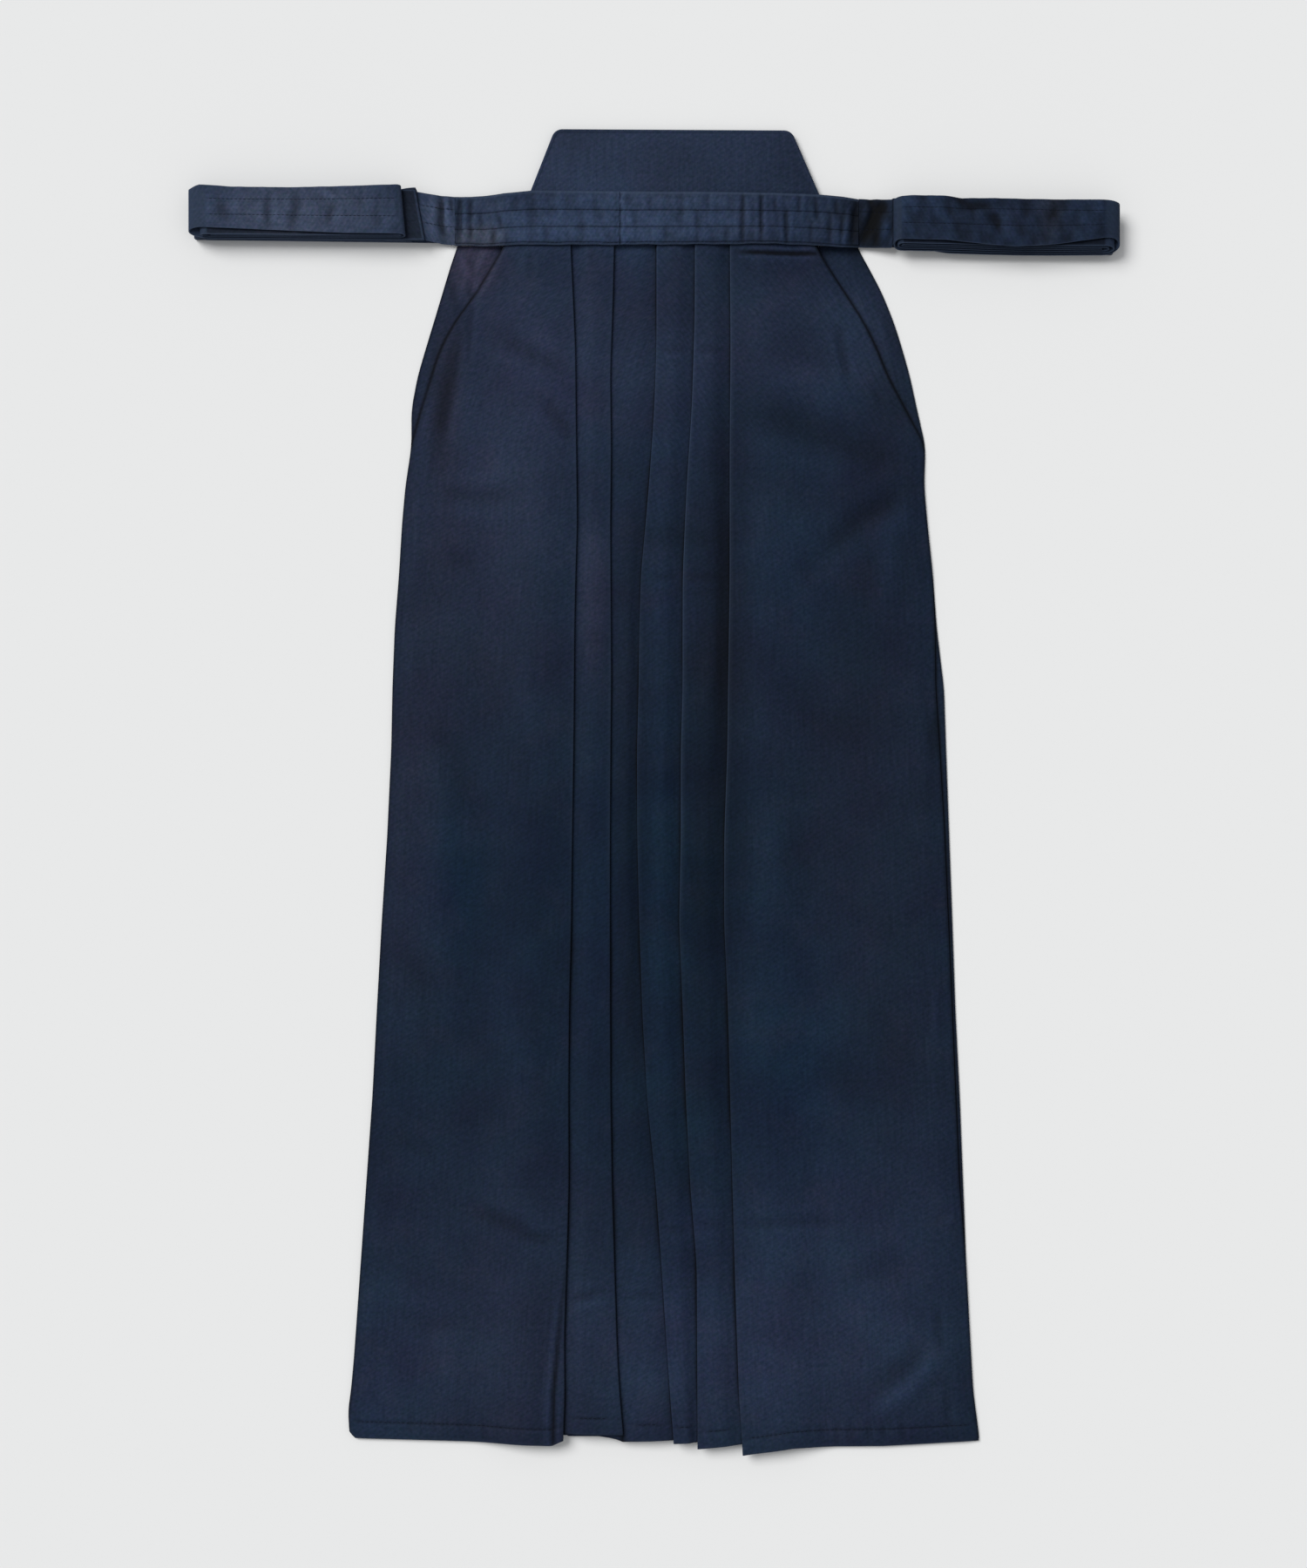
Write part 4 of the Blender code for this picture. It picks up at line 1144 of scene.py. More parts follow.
        groove = -0.4 * np.exp(-(((above_hem - HEM_DEPTH) / 1.1) ** 2)) * seen
        turned = 0.35 * eased((HEM_DEPTH - above_hem) / 1.4) * seen
        points[..., 2] += lift * free * calm + (groove + turned) * shown
        hem_wear = 0.2 * np.exp(-((above_hem / 1.0) ** 2)) * seen
        # painted shade in the creases and painted light on their ridges, darkest in the deep narrow ones
        deep = crease_height(x, y, [crease for crease in FRONT_CREASES if crease[1] < 2 and crease[2] < -1.5])
        shade = 1 + np.clip(0.22 * creased + 0.25 * deep, -0.8, 0.25) * seen
        # painted shade in the gap beside each fold edge, uneven, and wider lower down
        faded = eased((-10.0 - y) / 140.0)
        uneven = 1 + 0.34 * np.sin(y / 29.0 + self.shift) + 0.2 * np.sin(y / 11.0 + 2 * self.shift)
        reach = (self.gap_reach + 0.5 * faded) * uneven
        for name in self.folds:
            beside = self.sign * (x - edge_column(name, stations, FOLD_SOFTEN))
            over = np.maximum(beside, 0.0)
            gap = np.exp(-((over / reach) ** 2)) * (beside > 0.05) * (free < 0.1)
            shade *= 1 - (self.gap_dark + 0.15 * faded) * gap
            shade *= 1 - self.gap_shadow * np.exp(-((over / 6.0) ** 2)) * (beside > 0.05)
        if self.sign > 0:
            # painted shade on the centre strip where it goes under the other leg's fold
            under = np.maximum(edge_column("fold_3", stations, FOLD_SOFTEN) - x, 0.0)
            last_strip = x > edge_column("fold_2", stations, FOLD_SOFTEN) + 2.0
            dark = 0.8 * np.exp(-((under / (1.1 * uneven)) ** 2)) + 0.2 * np.exp(-((under / 7.0) ** 2))
            shade *= 1 - last_strip * dark
        # lower down the folds get less painted highlight and a painted shade on their edges
        fold_edge = wear_and_highlight / 0.3
        shade *= 1 - 0.3 * fold_edge * faded
        wear_and_highlight = wear_and_highlight * (1 - 0.7 * faded)
        # painted shade along the hem's stitch groove, along the side edge and opening, and along the hem's
        # lower edge
        shade *= 1 - 0.4 * np.exp(-(((above_hem - HEM_DEPTH) / 0.9) ** 2)) * seen
        edge = np.abs(x - x[:, :1])
        opening = 0.45 + 0.35 * eased((y - 255.0) / 30.0)
        shade *= 1 - opening * np.exp(-((edge / 1.4) ** 2))
        shade *= 1 - 0.45 * np.exp(-((above_hem / 0.9) ** 2))
        return Lay(points, cloth, np.clip(wear_and_highlight + hem_wear, 0, 1), shade)

    def hem_line(self, lay: Lay) -> list[np.ndarray]:
        """Lines that the hem's stitches follow, one for each strip that shows.

        Args:
            lay: The laid panel.

        Returns:
            Place and direction up of each point of each line.
        """
        section = self.section(HEM_Y)
        hem = self.hem_row(section)
        top, up = lay.top(CLOTH_WALL), lay.normals()
        lines = []
        for strip in sorted(set(section[:, 2].astype(int))):
            columns = [
                index for index, point in enumerate(section) if int(point[2]) == strip and point[3] > 0.2
            ]
            if len(columns) < 4:
                continue
            line = []
            for column in columns:
                above = lay.points[:, column, 1] - hem[column]
                row = float(np.interp(-HEM_DEPTH, -above, np.arange(len(above))))
                low = min(int(row), len(above) - 2)
                part = row - low
                place = top[low, column] * (1 - part) + top[low + 1, column] * part
                line.append(np.concatenate((place, up[low, column])))
            lines.append(np.array(line))
        return lines


@dataclass
class BackPanel:
    """One back panel, its pleat folded toward the back seam.

    sign, edge, shift: as in a front panel. flat, area: as in a front panel; not used.
    seam: x of the back seam.
    top_y: y of its upper edge.
    underlap: depth of its pleat.
    """

    name: str
    sign: float
    edge: str
    flat: Pair
    area: float
    shift: float
    seam: float = 7.0
    top_y: float = 413.9
    underlap: float = 35.0

    def front_edge(self) -> str:
        """Column of the edge of the front panel that lies on it."""
        return self.edge.replace("back", "front")

    def section(self, y: float) -> np.ndarray:
        """Section of the panel.

        Args:
            y: Where it is taken.

        Returns:
            u, z, strip, freedom to lift, and wear with painted highlight of each point.
        """
        edge = self.sign * down(SECTION, self.edge, y, EDGE_SOFTEN)
        seam = self.sign * self.seam
        fold = seam - float(np.interp(-y, (-414.0, 495.0), (22.0, 37.0)))
        radius = PITCH / 2
        low = 0.42
        path = Path([])
        front = max(self.sign * down(SECTION, self.front_edge(), y, EDGE_SOFTEN), edge + 5.0)
        path.run((edge, low + 0.3), (edge + 2.0, low), 3, 0, (0.0, 0.0))
        path.run((edge + 2.0, low), (front - 2.2, low), 14, 0, (1.0, 1.0))
        path.run((front - 2.2, low), (front + 2.2, low), 8, 0, (1.0, 1.0))
        path.run((front + 2.2, low), (fold - 10.0, low), 26, 0, (1.0, 1.0))
        for part in path.rows:
            part[:, 3] = part[:, 3] * eased((part[:, 0] - edge - 2.0) / 12.0)
        path.run((fold - 10.0, low), (fold - radius, low), 4, 0, (1.0, 0.0))
        path.fold(fold - radius, low, PITCH, 6, (0, 0), (0.0, 0.0), 0.4)
        turn = fold - self.underlap + radius
        path.run((fold - radius, low + PITCH), (turn, low + PITCH), 6, 0, (0.0, 0.0))
        path.fold(turn, low + PITCH, PITCH, 4, (0, 0), (0.0, 0.0), -0.001)
        path.run((turn, low + 2 * PITCH), (fold + 2.0, low + 2 * PITCH), 6, 0, (0.0, 0.0))
        path.run((fold + 2.0, low + 2 * PITCH), (fold + 12.0, low), 6, 0, (0.0, 0.0))
        path.run((fold + 12.0, low), (seam - 0.05, low), 4, 0, (0.0, 0.0))
        return path.end((seam - 0.05, low), 0, 0.0)

    def lay(self) -> Lay:
        """Works out every point of the panel.

        Returns:
            The laid sheet.
        """
        stations = np.concatenate((np.linspace(self.top_y, -470.0, 190), np.linspace(-470.0, HEM_Y, 14)[1:]))
        last = np.array([hem_at(HEM_BACK, self.sign * u) for u in self.section(HEM_Y)[:, 0]])
        points, cloth, wear_and_highlight, free = [], [], [], []
        for y in stations:
            section = self.section(float(y))
            share = max(0.0, (HEM_BLEND_TOP - y) / (HEM_BLEND_TOP - HEM_Y))
            real = y + (last - HEM_Y) * share
            points.append(np.stack([self.sign * section[:, 0], real, section[:, 1]], axis=1))
            cloth.append(np.stack([self.sign * path_length(section[:, :2]), real], axis=1))
            wear_and_highlight.append(section[:, 4])
            free.append(section[:, 3])
        points, free = np.array(points), np.array(free)
        x, y = points[..., 0], points[..., 1]
        front = edge_column(self.front_edge(), stations, EDGE_SOFTEN)
        calm = eased((412.0 - y) / 8.0) * eased((y + 478.0) / 14.0)
        creased = crease_height(x, y, BACK_CREASES)
        # inside the side opening nothing lies on the cloth, so that its creases can stand up
        bare = eased((self.sign * (front - x) - 2.5) / 7.0)
        lift = 0.18 + 0.16 * wave_height(x, y, self.shift) + (0.5 + 0.9 * bare) * creased + 0.35 * bare
        points[..., 2] += np.clip(lift, 0.0, 0.5 + 1.3 * bare) * free * calm
        # painted shadow beside the front panel's edge, painted shade and light of the creases, and painted
        # shade along the side edge
        beside = np.exp(-(((x - front + self.sign * 0.5) / 1.5) ** 2))
        shade = 1 - 0.75 * beside + np.clip(0.35 * creased, -0.3, 0.25)
        shade *= 1 - 0.5 * np.exp(-(((x - x[:, :1]) / 1.3) ** 2))
        return Lay(points, np.array(cloth), np.clip(np.array(wear_and_highlight), 0, 1), shade)


@dataclass
class Gusset:
    """Gusset of one leg, folded flat between front and back.

    sign: as in a front panel. flat, area: as in a front panel; not used.
    crotch, hem: y of its two ends.
    """

    name: str
    sign: float
    flat: Pair
    area: float
    crotch: float = -55.0
    hem: float = -487.0

    def lay(self) -> Lay:
        """Works out every point of the gusset.

        Returns:
            The laid sheet.
        """
        points, cloth, wear_and_highlight = [], [], []
        for y in np.linspace(self.crotch, self.hem, 70):
            upper = down(GROUND, "middle", float(y)) - 0.8
            start = self.sign * (down(SECTION, "fold_3", float(y), FOLD_SOFTEN) + 3.5) - 0.15
            seam = self.sign * 7.0 - 0.15
            half = float(np.interp(-y, (55.0, 495.0), (16.0, 78.0)))
            turn = self.sign * 7.0 - half + PITCH / 2
            path = Path([])
            path.run((start, upper), (turn, upper), 12, 0, (0.0, 0.0))
            path.fold(turn, upper, -PITCH, 5, (0, 0), (0.0, 0.0), -0.4)
            path.run((turn, upper - PITCH), (seam, upper - PITCH), 12, 0, (0.0, 0.0))
            section = path.end((seam, upper - PITCH), 0, 0.0)
            along = np.full(len(section), y)
            points.append(np.stack([self.sign * section[:, 0], along, section[:, 1]], axis=1))
            cloth.append(np.stack([self.sign * path_length(section[:, :2]), along], axis=1))
            wear_and_highlight.append(section[:, 4])
        return Lay(np.array(points), np.array(cloth), np.array(wear_and_highlight), np.ones_like(np.array(wear_and_highlight)))


@dataclass
class Waistband:
    """Front waistband: a strip folded over the tops of the front panels, quilted by two rows of stitches."""

    name: str = "waistband"
    left: float = -150.5
    right: float = 154.9
    flat: Pair = (0.085, 0.305)
    rows: int = 250

    def shares(self) -> np.ndarray:
        """Shares of the height at which the front leaf has points.

        Returns:
            The shares, close together at the stitches.
        """
        fine = [
            centre + offset
            for centre in BAND_STITCHES
            for offset in (-0.036, -0.022, -0.011, 0.0, 0.011, 0.022, 0.036)
        ]
        return np.unique(np.round(np.concatenate((np.linspace(0, 1, 25), fine)), 4))

    def relief(self, x: float, share: np.ndarray) -> np.ndarray:
        """Height of the quilted channels, puckers, seam and stitch grooves over the flat leaf.

        Args:
            x: Place along the band.
            share: Shares of its height.

        Returns:
            Millimetres up or down at each share.
        """
        rows = (*BAND_STITCHES, 1.02)
        height = np.zeros_like(share)
        # the channels between the stitches puff up
        for low, high in zip(rows[:-1], rows[1:]):
            inside = (share >= low) & (share <= high)
            height[inside] += 0.38 * np.abs(np.sin(math.pi * (share[inside] - low) / (high - low))) ** 0.8
        for centre in BAND_STITCHES:
            wander = 0.004 * math.sin(x / 9.0 + centre * 20)
            height -= 0.42 * np.exp(-(((share - centre - wander) / 0.013) ** 2))
        for place, low, high, lean, width, depth in BAND_PUCKERS:
            middle = place + lean * (share - (low + high) / 2)
            fade = eased((share - low + 0.08) / 0.2) * eased((high + 0.08 - share) / 0.2)
            distance = (x - middle) / width
            shape = np.exp(-(distance**2)) - 0.3 * np.exp(-((np.abs(distance) - 1.8) ** 2))
            height += 1.35 * depth * fade * shape
        pull = 0.07 * np.sin(x * 2 * math.pi / 5.7 + 5 * share) + 0.05 * np.sin(x * 2 * math.pi / 3.9 + 2.0)
        pull = pull + 0.42 * wave_height(np.full_like(share, x), 38.0 * share, 0.0, CRUMPLES)
        height += pull * (0.25 + 0.75 * np.sin(np.clip(share, 0, 1) * 3 * math.pi) ** 2)
        seam = BAND_JOINT + 0.5 * np.sin(share * 21)
        height += -1.1 * np.exp(-(((x - seam) / 0.8) ** 2)) + 0.45 * np.exp(-(((x - seam - 2.6) / 1.1) ** 2))
        height += -0.5 * np.exp(-(((x - seam + 2.9) / 0.7) ** 2))
        return height

    def lay(self) -> Lay:
        """Works out every point of the waistband.

        Returns:
            The laid sheet.
        """
        shares = self.shares()
        points, cloth, wear_and_highlight, shade = [], [], [], []
        for x in np.linspace(self.left, self.right, self.rows):
            bottom, top = across(BAND, "bottom", x), across(BAND, "top", x)
            back = across(BAND, "underside", x) + 0.5
            closed = back + PITCH
            opened = closed + across(BAND, "mouth", x)
            turn = top - PITCH / 2 - 0.4
            y = bottom + (turn - bottom) * shares
            wobble = 0.35 * math.sin(x / 7.0) + 0.25 * math.sin(x / 3.1)
            y = y - (1 - shares) ** 4 * (0.4 + wobble * 0.5)
            relief = self.relief(float(x), shares)
            z = opened + (closed - opened) * eased((y - bottom - 8.0) / 14.0) + relief
            z = z + 0.25
            angle = np.linspace(0, math.pi, 9)[1:-1]
            start = z[-1]
            arc_y = turn + PITCH / 2 * np.sin(angle)
            arc_z = start + (back - start) * (1 - np.cos(angle)) / 2
            leaf_y = np.linspace(turn, bottom + 0.6, 9)
            leaf_z = np.full(9, back)
            row_y, row_z = np.concatenate((y, arc_y, leaf_y)), np.concatenate((z, arc_z, leaf_z))
            # painted highlight on the fold at the top and along the bottom edge, partly rubbing
            rubbed_and_highlight = np.concatenate((np.zeros(len(y)), 0.35 * np.sin(angle), np.zeros(9)))
            rubbed_and_highlight[:3] = (0.3, 0.15, 0.0)
            rubbed_and_highlight[len(y) - 1] = 0.4
            points.append(np.stack([np.full(len(row_y), x), row_y, row_z], axis=1))
            walked = path_length(np.stack([row_y, row_z], axis=1))
            cloth.append(np.stack([walked, np.full(len(row_y), x)], axis=1))
            wear_and_highlight.append(rubbed_and_highlight)
            # painted light on the puffed channels, painted shade in puckers, stitch rows, along the bottom
            # edge and over the fold at the top
            stitched = sum(np.exp(-(((shares - centre) / 0.014) ** 2)) for centre in BAND_STITCHES)
            dark = 1 + np.clip(0.55 * (relief - 0.25), -0.5, 0.2) - 0.2 * stitched
            dark = dark * (1 - 0.45 * np.exp(-((shares / 0.022) ** 2)))
            shade.append(np.concatenate((dark, np.full(len(angle), 0.85), np.ones(9))))
        return Lay(np.array(points), np.array(cloth), np.array(wear_and_highlight), np.array(shade))

    def stitch_line(self, lay: Lay, share: float) -> np.ndarray:
        """Line that a row of stitches follows.

        Args:
            lay: The laid band.
            share: Share of its height.

        Returns:
            Place and direction up of each point.
        """
        column = int(np.argmin(np.abs(self.shares() - share)))
        return np.concatenate((lay.top(CLOTH_WALL)[:, column], lay.normals()[:, column]), axis=1)


@dataclass
class FrontStrap:
    """One front strap: the stretch from the waistband and its flat roll, as one ribbon.

    run: x, y and z of the stretch before the roll.
    levels: level of each layer, in the order in which the ribbon passes them.
    turns: x of the fold after each layer but the last.
    free_end: x at which the ribbon ends.
    middle, middle_at: y of the roll's middle line, and the x where it has it.
    shifts: sideways shift of each level.
    upper_edge, lower_edge: how far the top layer's edges bulge, by x.
    creases: creases of the run and the top layer.
    flat: size of its sheet laid open, in metres; not used.
    reaches: how far each fold bulges out.
    skew: slant of the fold next to the waistband.
    blend: stretch over which the first layer reaches its shift.
    crumple_shade, groove_dark: strength of the painted light and shade of the crumples, and of the painted
    shade in the stitch grooves.
    """

    name: str
    run: tuple[Triple, ...]
    levels: tuple[int, ...]
    turns: tuple[float, ...]
    free_end: float
    middle: Pair
    middle_at: Pair
    shifts: tuple[float, ...]
    upper_edge: tuple[Pair, ...]
    lower_edge: tuple[Pair, ...]
    creases: tuple[Crease, ...]
    flat: Pair
    reaches: tuple[float, ...]
    skew: float = 0.0
    blend: float = 30.0
    crumple_shade: float = 0.12
    groove_dark: float = 0.22

    def level_height(self, level: int) -> float:
        """Height of the middle of a level's wall."""
        return ROLL_FLOOR + STRAP_LEVEL * (level + 0.5)

    def route(self) -> np.ndarray:
        """Middle line of the ribbon.

        Returns:
            x, z, sideways shift, level, 1 on a straight run, and share of the bulging edges at each point.
        """
        outward = math.copysign(1.0, self.turns[0])
        rows: list[tuple[float, ...]] = []
        xs, _, zs = zip(*self.run)
        for x in np.linspace(xs[0], xs[-1], 20)[:-1]:
            z = float(np.interp(outward * x, [outward * value for value in xs], zs)) + STRAP_LOWEST
            rows.append((float(x), z, 0.0, -1.0, 1.0, 0.0))
        here = xs[-1]
        for index, level in enumerate(self.levels):
            height = self.level_height(level)
            last = index == len(self.levels) - 1
            step = outward if index % 2 == 0 else -outward
            share = 1.0 if level == TOP_LEVEL else 0.15
            reach = 0.0 if last else self.reaches[index]
            stop = self.free_end if last else self.turns[index] - step * reach
            count = max(4, int(abs(stop - here) / (2.1 if level in (0, TOP_LEVEL) else 5.0)))
            for x in np.linspace(here, stop, count):
                settled = eased(outward * (x - xs[-1]) / self.blend) if index == 0 else 1.0
                rows.append((float(x), height, self.shifts[level] * settled, float(level), 1.0, share))
            here = stop
            if last:
                break
            following = self.levels[index + 1]
            rise = self.level_height(following) - height
            turned = 1.0 if following == TOP_LEVEL else 0.15
            for angle in np.linspace(0, math.pi, (7 if reach < 2 else 15))[1:-1]:
                part = (1 - math.cos(angle)) / 2
                shift = self.shifts[level] + (self.shifts[following] - self.shifts[level]) * part
                rows.append((
                    stop + step * reach * math.sin(angle), height + rise * part, shift, float(level), 0.0,
                    share + (turned - share) * part,
                ))
        return np.array(rows)

    def lay(self) -> Lay:
        """Works out every point of the strap.

        Returns:
            The laid sheet.
        """
        route = self.route()
        half = STRAP_WIDTH / 2
        near_stitches = [row + away for row in STRAP_STITCHES for away in (-0.05, -0.025, 0.0, 0.025, 0.05)]
        spread = np.concatenate((np.linspace(-1, 1, 21), [-0.97, 0.97], near_stitches))
        spread = np.unique(np.round(spread, 4))
        walked = path_length(route[:, :2])
        rim = np.exp(-(((1 - np.abs(spread)) / 0.02) ** 2))
        grooves = sum(np.exp(-(((spread - row) / 0.026) ** 2)) for row in STRAP_STITCHES)
        points, cloth, wear_and_highlight, shade = [], [], [], []
        for index, (x, z, shift, level, straight, share) in enumerate(route):
            middle = float(np.interp(x, *zip(*sorted(zip(self.middle_at, self.middle)))))
            if level < 0:
                middle = float(np.interp(x, *zip(*sorted((row[0], row[1]) for row in self.run))))
            top = level == TOP_LEVEL and straight > 0
            upper = float(np.interp(x, *zip(*self.upper_edge))) * (0.7 + 0.3 * share)
            lower = float(np.interp(x, *zip(*self.lower_edge))) * share
            if level < 0:
                upper = 0.0
            y = middle + shift + np.where(spread > 0, spread * (half + upper), spread * (half - lower))
            slant = self.skew * eased(1 - abs(x - self.turns[1]) / 25)
            place_x, place_z = x - spread * slant, np.full(len(spread), z)
            crumple = wave_height(place_x, y, 0.7, CRUMPLES)
            creased = crease_height(place_x, y, self.creases)
            if straight:
                puff = 0.16 * (1 - np.abs(spread) ** 4)
                place_z = place_z - 0.25 * grooves + puff * (1.6 if level < 0 or top else 0.4)
            if top:
                inner = self.turns[1 if self.levels[1] == TOP_LEVEL else 3]
                calm = eased(abs(x - inner) / 12) * eased(abs(x - self.turns[0]) / 12)
                place_z = place_z + calm * (0.6 + 0.3 * wave_height(place_x * 2, y * 2, 1.0) + 0.3 * crumple)
                place_z = place_z + np.maximum(1.5 * creased, -0.85) * max(calm, 0.3)
            elif level < 0:
                place_z = place_z + np.maximum(1.2 * creased + 0.2 * crumple, -0.6)
            points.append(np.stack([place_x, y, place_z], axis=1))
            cloth.append(np.stack([spread * half, np.full(len(spread), walked[index])], axis=1))
            # painted highlight on the edges; painted light and shade of creases and crumples, and painted
            # shade in the stitch grooves
            if level < 0 or top:
                wear_and_highlight.append(0.3 * rim)
                crease_shade = np.clip(0.85 * creased + self.crumple_shade * crumple, -0.65, 0.35)
                shade.append(1 - self.groove_dark * grooves + crease_shade)
            elif straight:
                # lower layers: painted highlight on each folded edge and painted shade in the gaps between
                # layers
                wear_and_highlight.append(0.6 * rim)
                shade.append(0.35 + 0.65 * rim)
            else:
                # folds: a flat painted shade and a painted highlight on the edges
                wear_and_highlight.append(0.15 + 0.3 * rim)
                shade.append(np.full(len(spread), 0.8))
        return Lay(np.array(points), np.array(cloth), np.clip(np.array(wear_and_highlight), 0, 1), np.array(shade))

    def stitch_lines(self, lay: Lay) -> list[np.ndarray]:
        """Lines that the stitches of the run and of the top layer follow.

        Args:
            lay: The laid strap.

        Returns:
            Place and direction up of each point of each line.
        """
        route = self.route()
        spread = np.round(lay.cloth[0, :, 0] / (STRAP_WIDTH / 2), 4)
        top, up = lay.top(STRAP_WALL), lay.normals()
        lines = []
        for level in (-1.0, float(TOP_LEVEL)):
            rows = np.nonzero((route[:, 3] == level) & (route[:, 4] > 0))[0]
            for place in STRAP_STITCHES:
                column = int(np.argmin(np.abs(spread - place)))
                lines.append(np.concatenate((top[rows, column], up[rows, column]), axis=1))
        return lines


@dataclass
class BackStrap:
    """One back strap, folded to and fro on the floor under the front one.

    start: x of the lower and upper corner at the board.
    turn, near, end: x of the far fold, of the near fold and of its free end.
    middle: y of its middle line at the board and at the far fold.
    flat: size of its sheet laid open, in metres; not used.
    layers, pitch: number of its layers and their distance.
    """

    name: str
    start: Pair
    turn: float
    near: float
    end: float
    middle: Pair
    flat: Pair
    layers: int = 4
    pitch: float = 1.8

    def lay(self) -> Lay:
        """Works out every point of the strap.

        Returns:
            The laid sheet.
        """
        sign = math.copysign(1, self.turn)
        radius = self.pitch / 2
        low = abs(self.start[0])
        slant = (low - abs(self.start[1])) / 2
        far, near = abs(self.turn), abs(self.near)
        route = [(u, STRAP_LOWEST) for u in np.linspace(low - slant, far - radius, 50)[:-1]]
        for layer in range(self.layers - 1):
            height = STRAP_LOWEST + layer * self.pitch
            out = layer % 2 == 0
            centre = far - radius if out else near + radius
            reach = radius if out else -radius
            for angle in np.linspace(0, math.pi, 8):
                rise = self.pitch * (1 - math.cos(angle)) / 2
                route.append((centre + reach * math.sin(angle), height + rise))
            goal = near + radius if out else far - radius
            if layer < self.layers - 2:
                route += [(u, height + self.pitch) for u in np.linspace(centre, goal, 30)[1:-1]]
        last = STRAP_LOWEST + (self.layers - 1) * self.pitch
        route += [(u, last) for u in np.linspace(far - radius, abs(self.end), 30)[1:]]
        line = np.array(route)
        walked = path_length(line)
        half = BACK_STRAP_WIDTH / 2
        spread = np.unique(np.round(np.concatenate((np.linspace(-1, 1, 9), [-0.96, 0.96])), 4))
        points, cloth, wear_and_highlight = [], [], []
        for index, (u, z) in enumerate(line):
            share = (u - low + slant) / (far - low + slant)
            middle = self.middle[0] + (self.middle[1] - self.middle[0]) * share
            skew = slant * max(0.0, 1 - walked[index] / 30)
            puff = 0.12 * (1 - spread**4)
            points.append(np.stack([sign * (u - spread * skew), middle + spread * half, z + puff], axis=1))
            cloth.append(np.stack([spread * half, np.full(len(spread), walked[index])], axis=1))
            # painted highlight on the folded edges
            wear_and_highlight.append(0.3 * np.exp(-(((1 - np.abs(spread)) / 0.03) ** 2)))
        # painted shade, the same all over
        shade = np.full((len(points), len(spread)), 0.85)
        return Lay(np.array(points), np.array(cloth), np.array(wear_and_highlight), shade)


@dataclass
class BackBoard:
    """Stiff board of the back of the waist, covered in the same cloth, its corners and edges rounded."""

    name: str = "covered_board"
    corners: tuple[Pair, ...] = ((-109.6, 414.2), (142.0, 414.2), (104.2, 501.0), (-75.0, 502.0))
    thick: float = 5.0
    corner_round: float = 8.0
    edge_round: float = 1.5

    def built(self) -> bpy.types.Object:
        """Builds the board from a plane, with round corners and edges and a soft crown.

        Returns:
            The board.
        """
        select_nothing()
        bpy.ops.mesh.primitive_plane_add(size=1)
        board = bpy.context.object
        board.name = board.data.name = self.name
        for vertex, corner in zip((board.data.vertices[index] for index in (0, 1, 3, 2)), self.corners):
            vertex.co = (corner[0] * MM, corner[1] * MM, 0.0)
        bpy.ops.object.mode_set(mode="EDIT")
        bpy.ops.mesh.select_all(action="DESELECT")
        bpy.ops.object.mode_set(mode="OBJECT")
        for vertex in board.data.vertices:
            vertex.select = vertex.co.y > 0.45
        bpy.ops.object.mode_set(mode="EDIT")
        bpy.ops.mesh.bevel(offset=self.corner_round * MM * 0.66, segments=5, affect="VERTICES")
        bpy.ops.mesh.select_all(action="SELECT")
        bpy.ops.mesh.inset(thickness=2.2 * MM)
        bpy.ops.mesh.inset(thickness=0.6 * MM)
        bpy.ops.transform.translate(value=(0, 0, -0.25 * MM))
        bpy.ops.mesh.inset(thickness=0.6 * MM)
        bpy.ops.transform.translate(value=(0, 0, 0.3 * MM))
        bpy.ops.object.mode_set(mode="OBJECT")
        for vertex in board.data.vertices:
            vertex.co.z += (self.thick - 0.12) * MM
        thick = board.modifiers.new("Thickness", "SOLIDIFY")
        thick.thickness = (self.thick - 0.4) * MM
        thick.offset = -1.0
        rounded = board.modifiers.new("Rounded edge", "BEVEL")
        rounded.width = self.edge_round * MM
        rounded.segments = 4
        rounded.limit_method = "ANGLE"
        rounded.angle_limit = math.radians(60)
        for modifier in (thick, rounded):
            bpy.ops.object.modifier_apply(modifier=modifier.name)
        bpy.ops.object.shade_smooth_by_angle(angle=math.radians(35))
        self.unwrap(board)
        return board

    @staticmethod
    def unwrap(board: bpy.types.Object) -> None:
        """Lays the cloth's own directions and tones, with their painted light and shade, over the board.

        Args:
            board: The board.
        """
        layer = board.data.uv_layers.active or board.data.uv_layers.new(name="UVMap")
        layer.name = "UVMap"
        for loop in board.data.loops:
            place = board.data.vertices[loop.vertex_index].co
            layer.data[loop.index].uv = (place.x + 0.3, place.y + place.z)
        places = np.array([vertex.co[:] for vertex in board.data.vertices]) / MM
        tone, plum = tone_and_shade_at(places[:, 0], places[:, 1])
        write_looks(board.data, np.zeros(len(tone)), tone, plum)


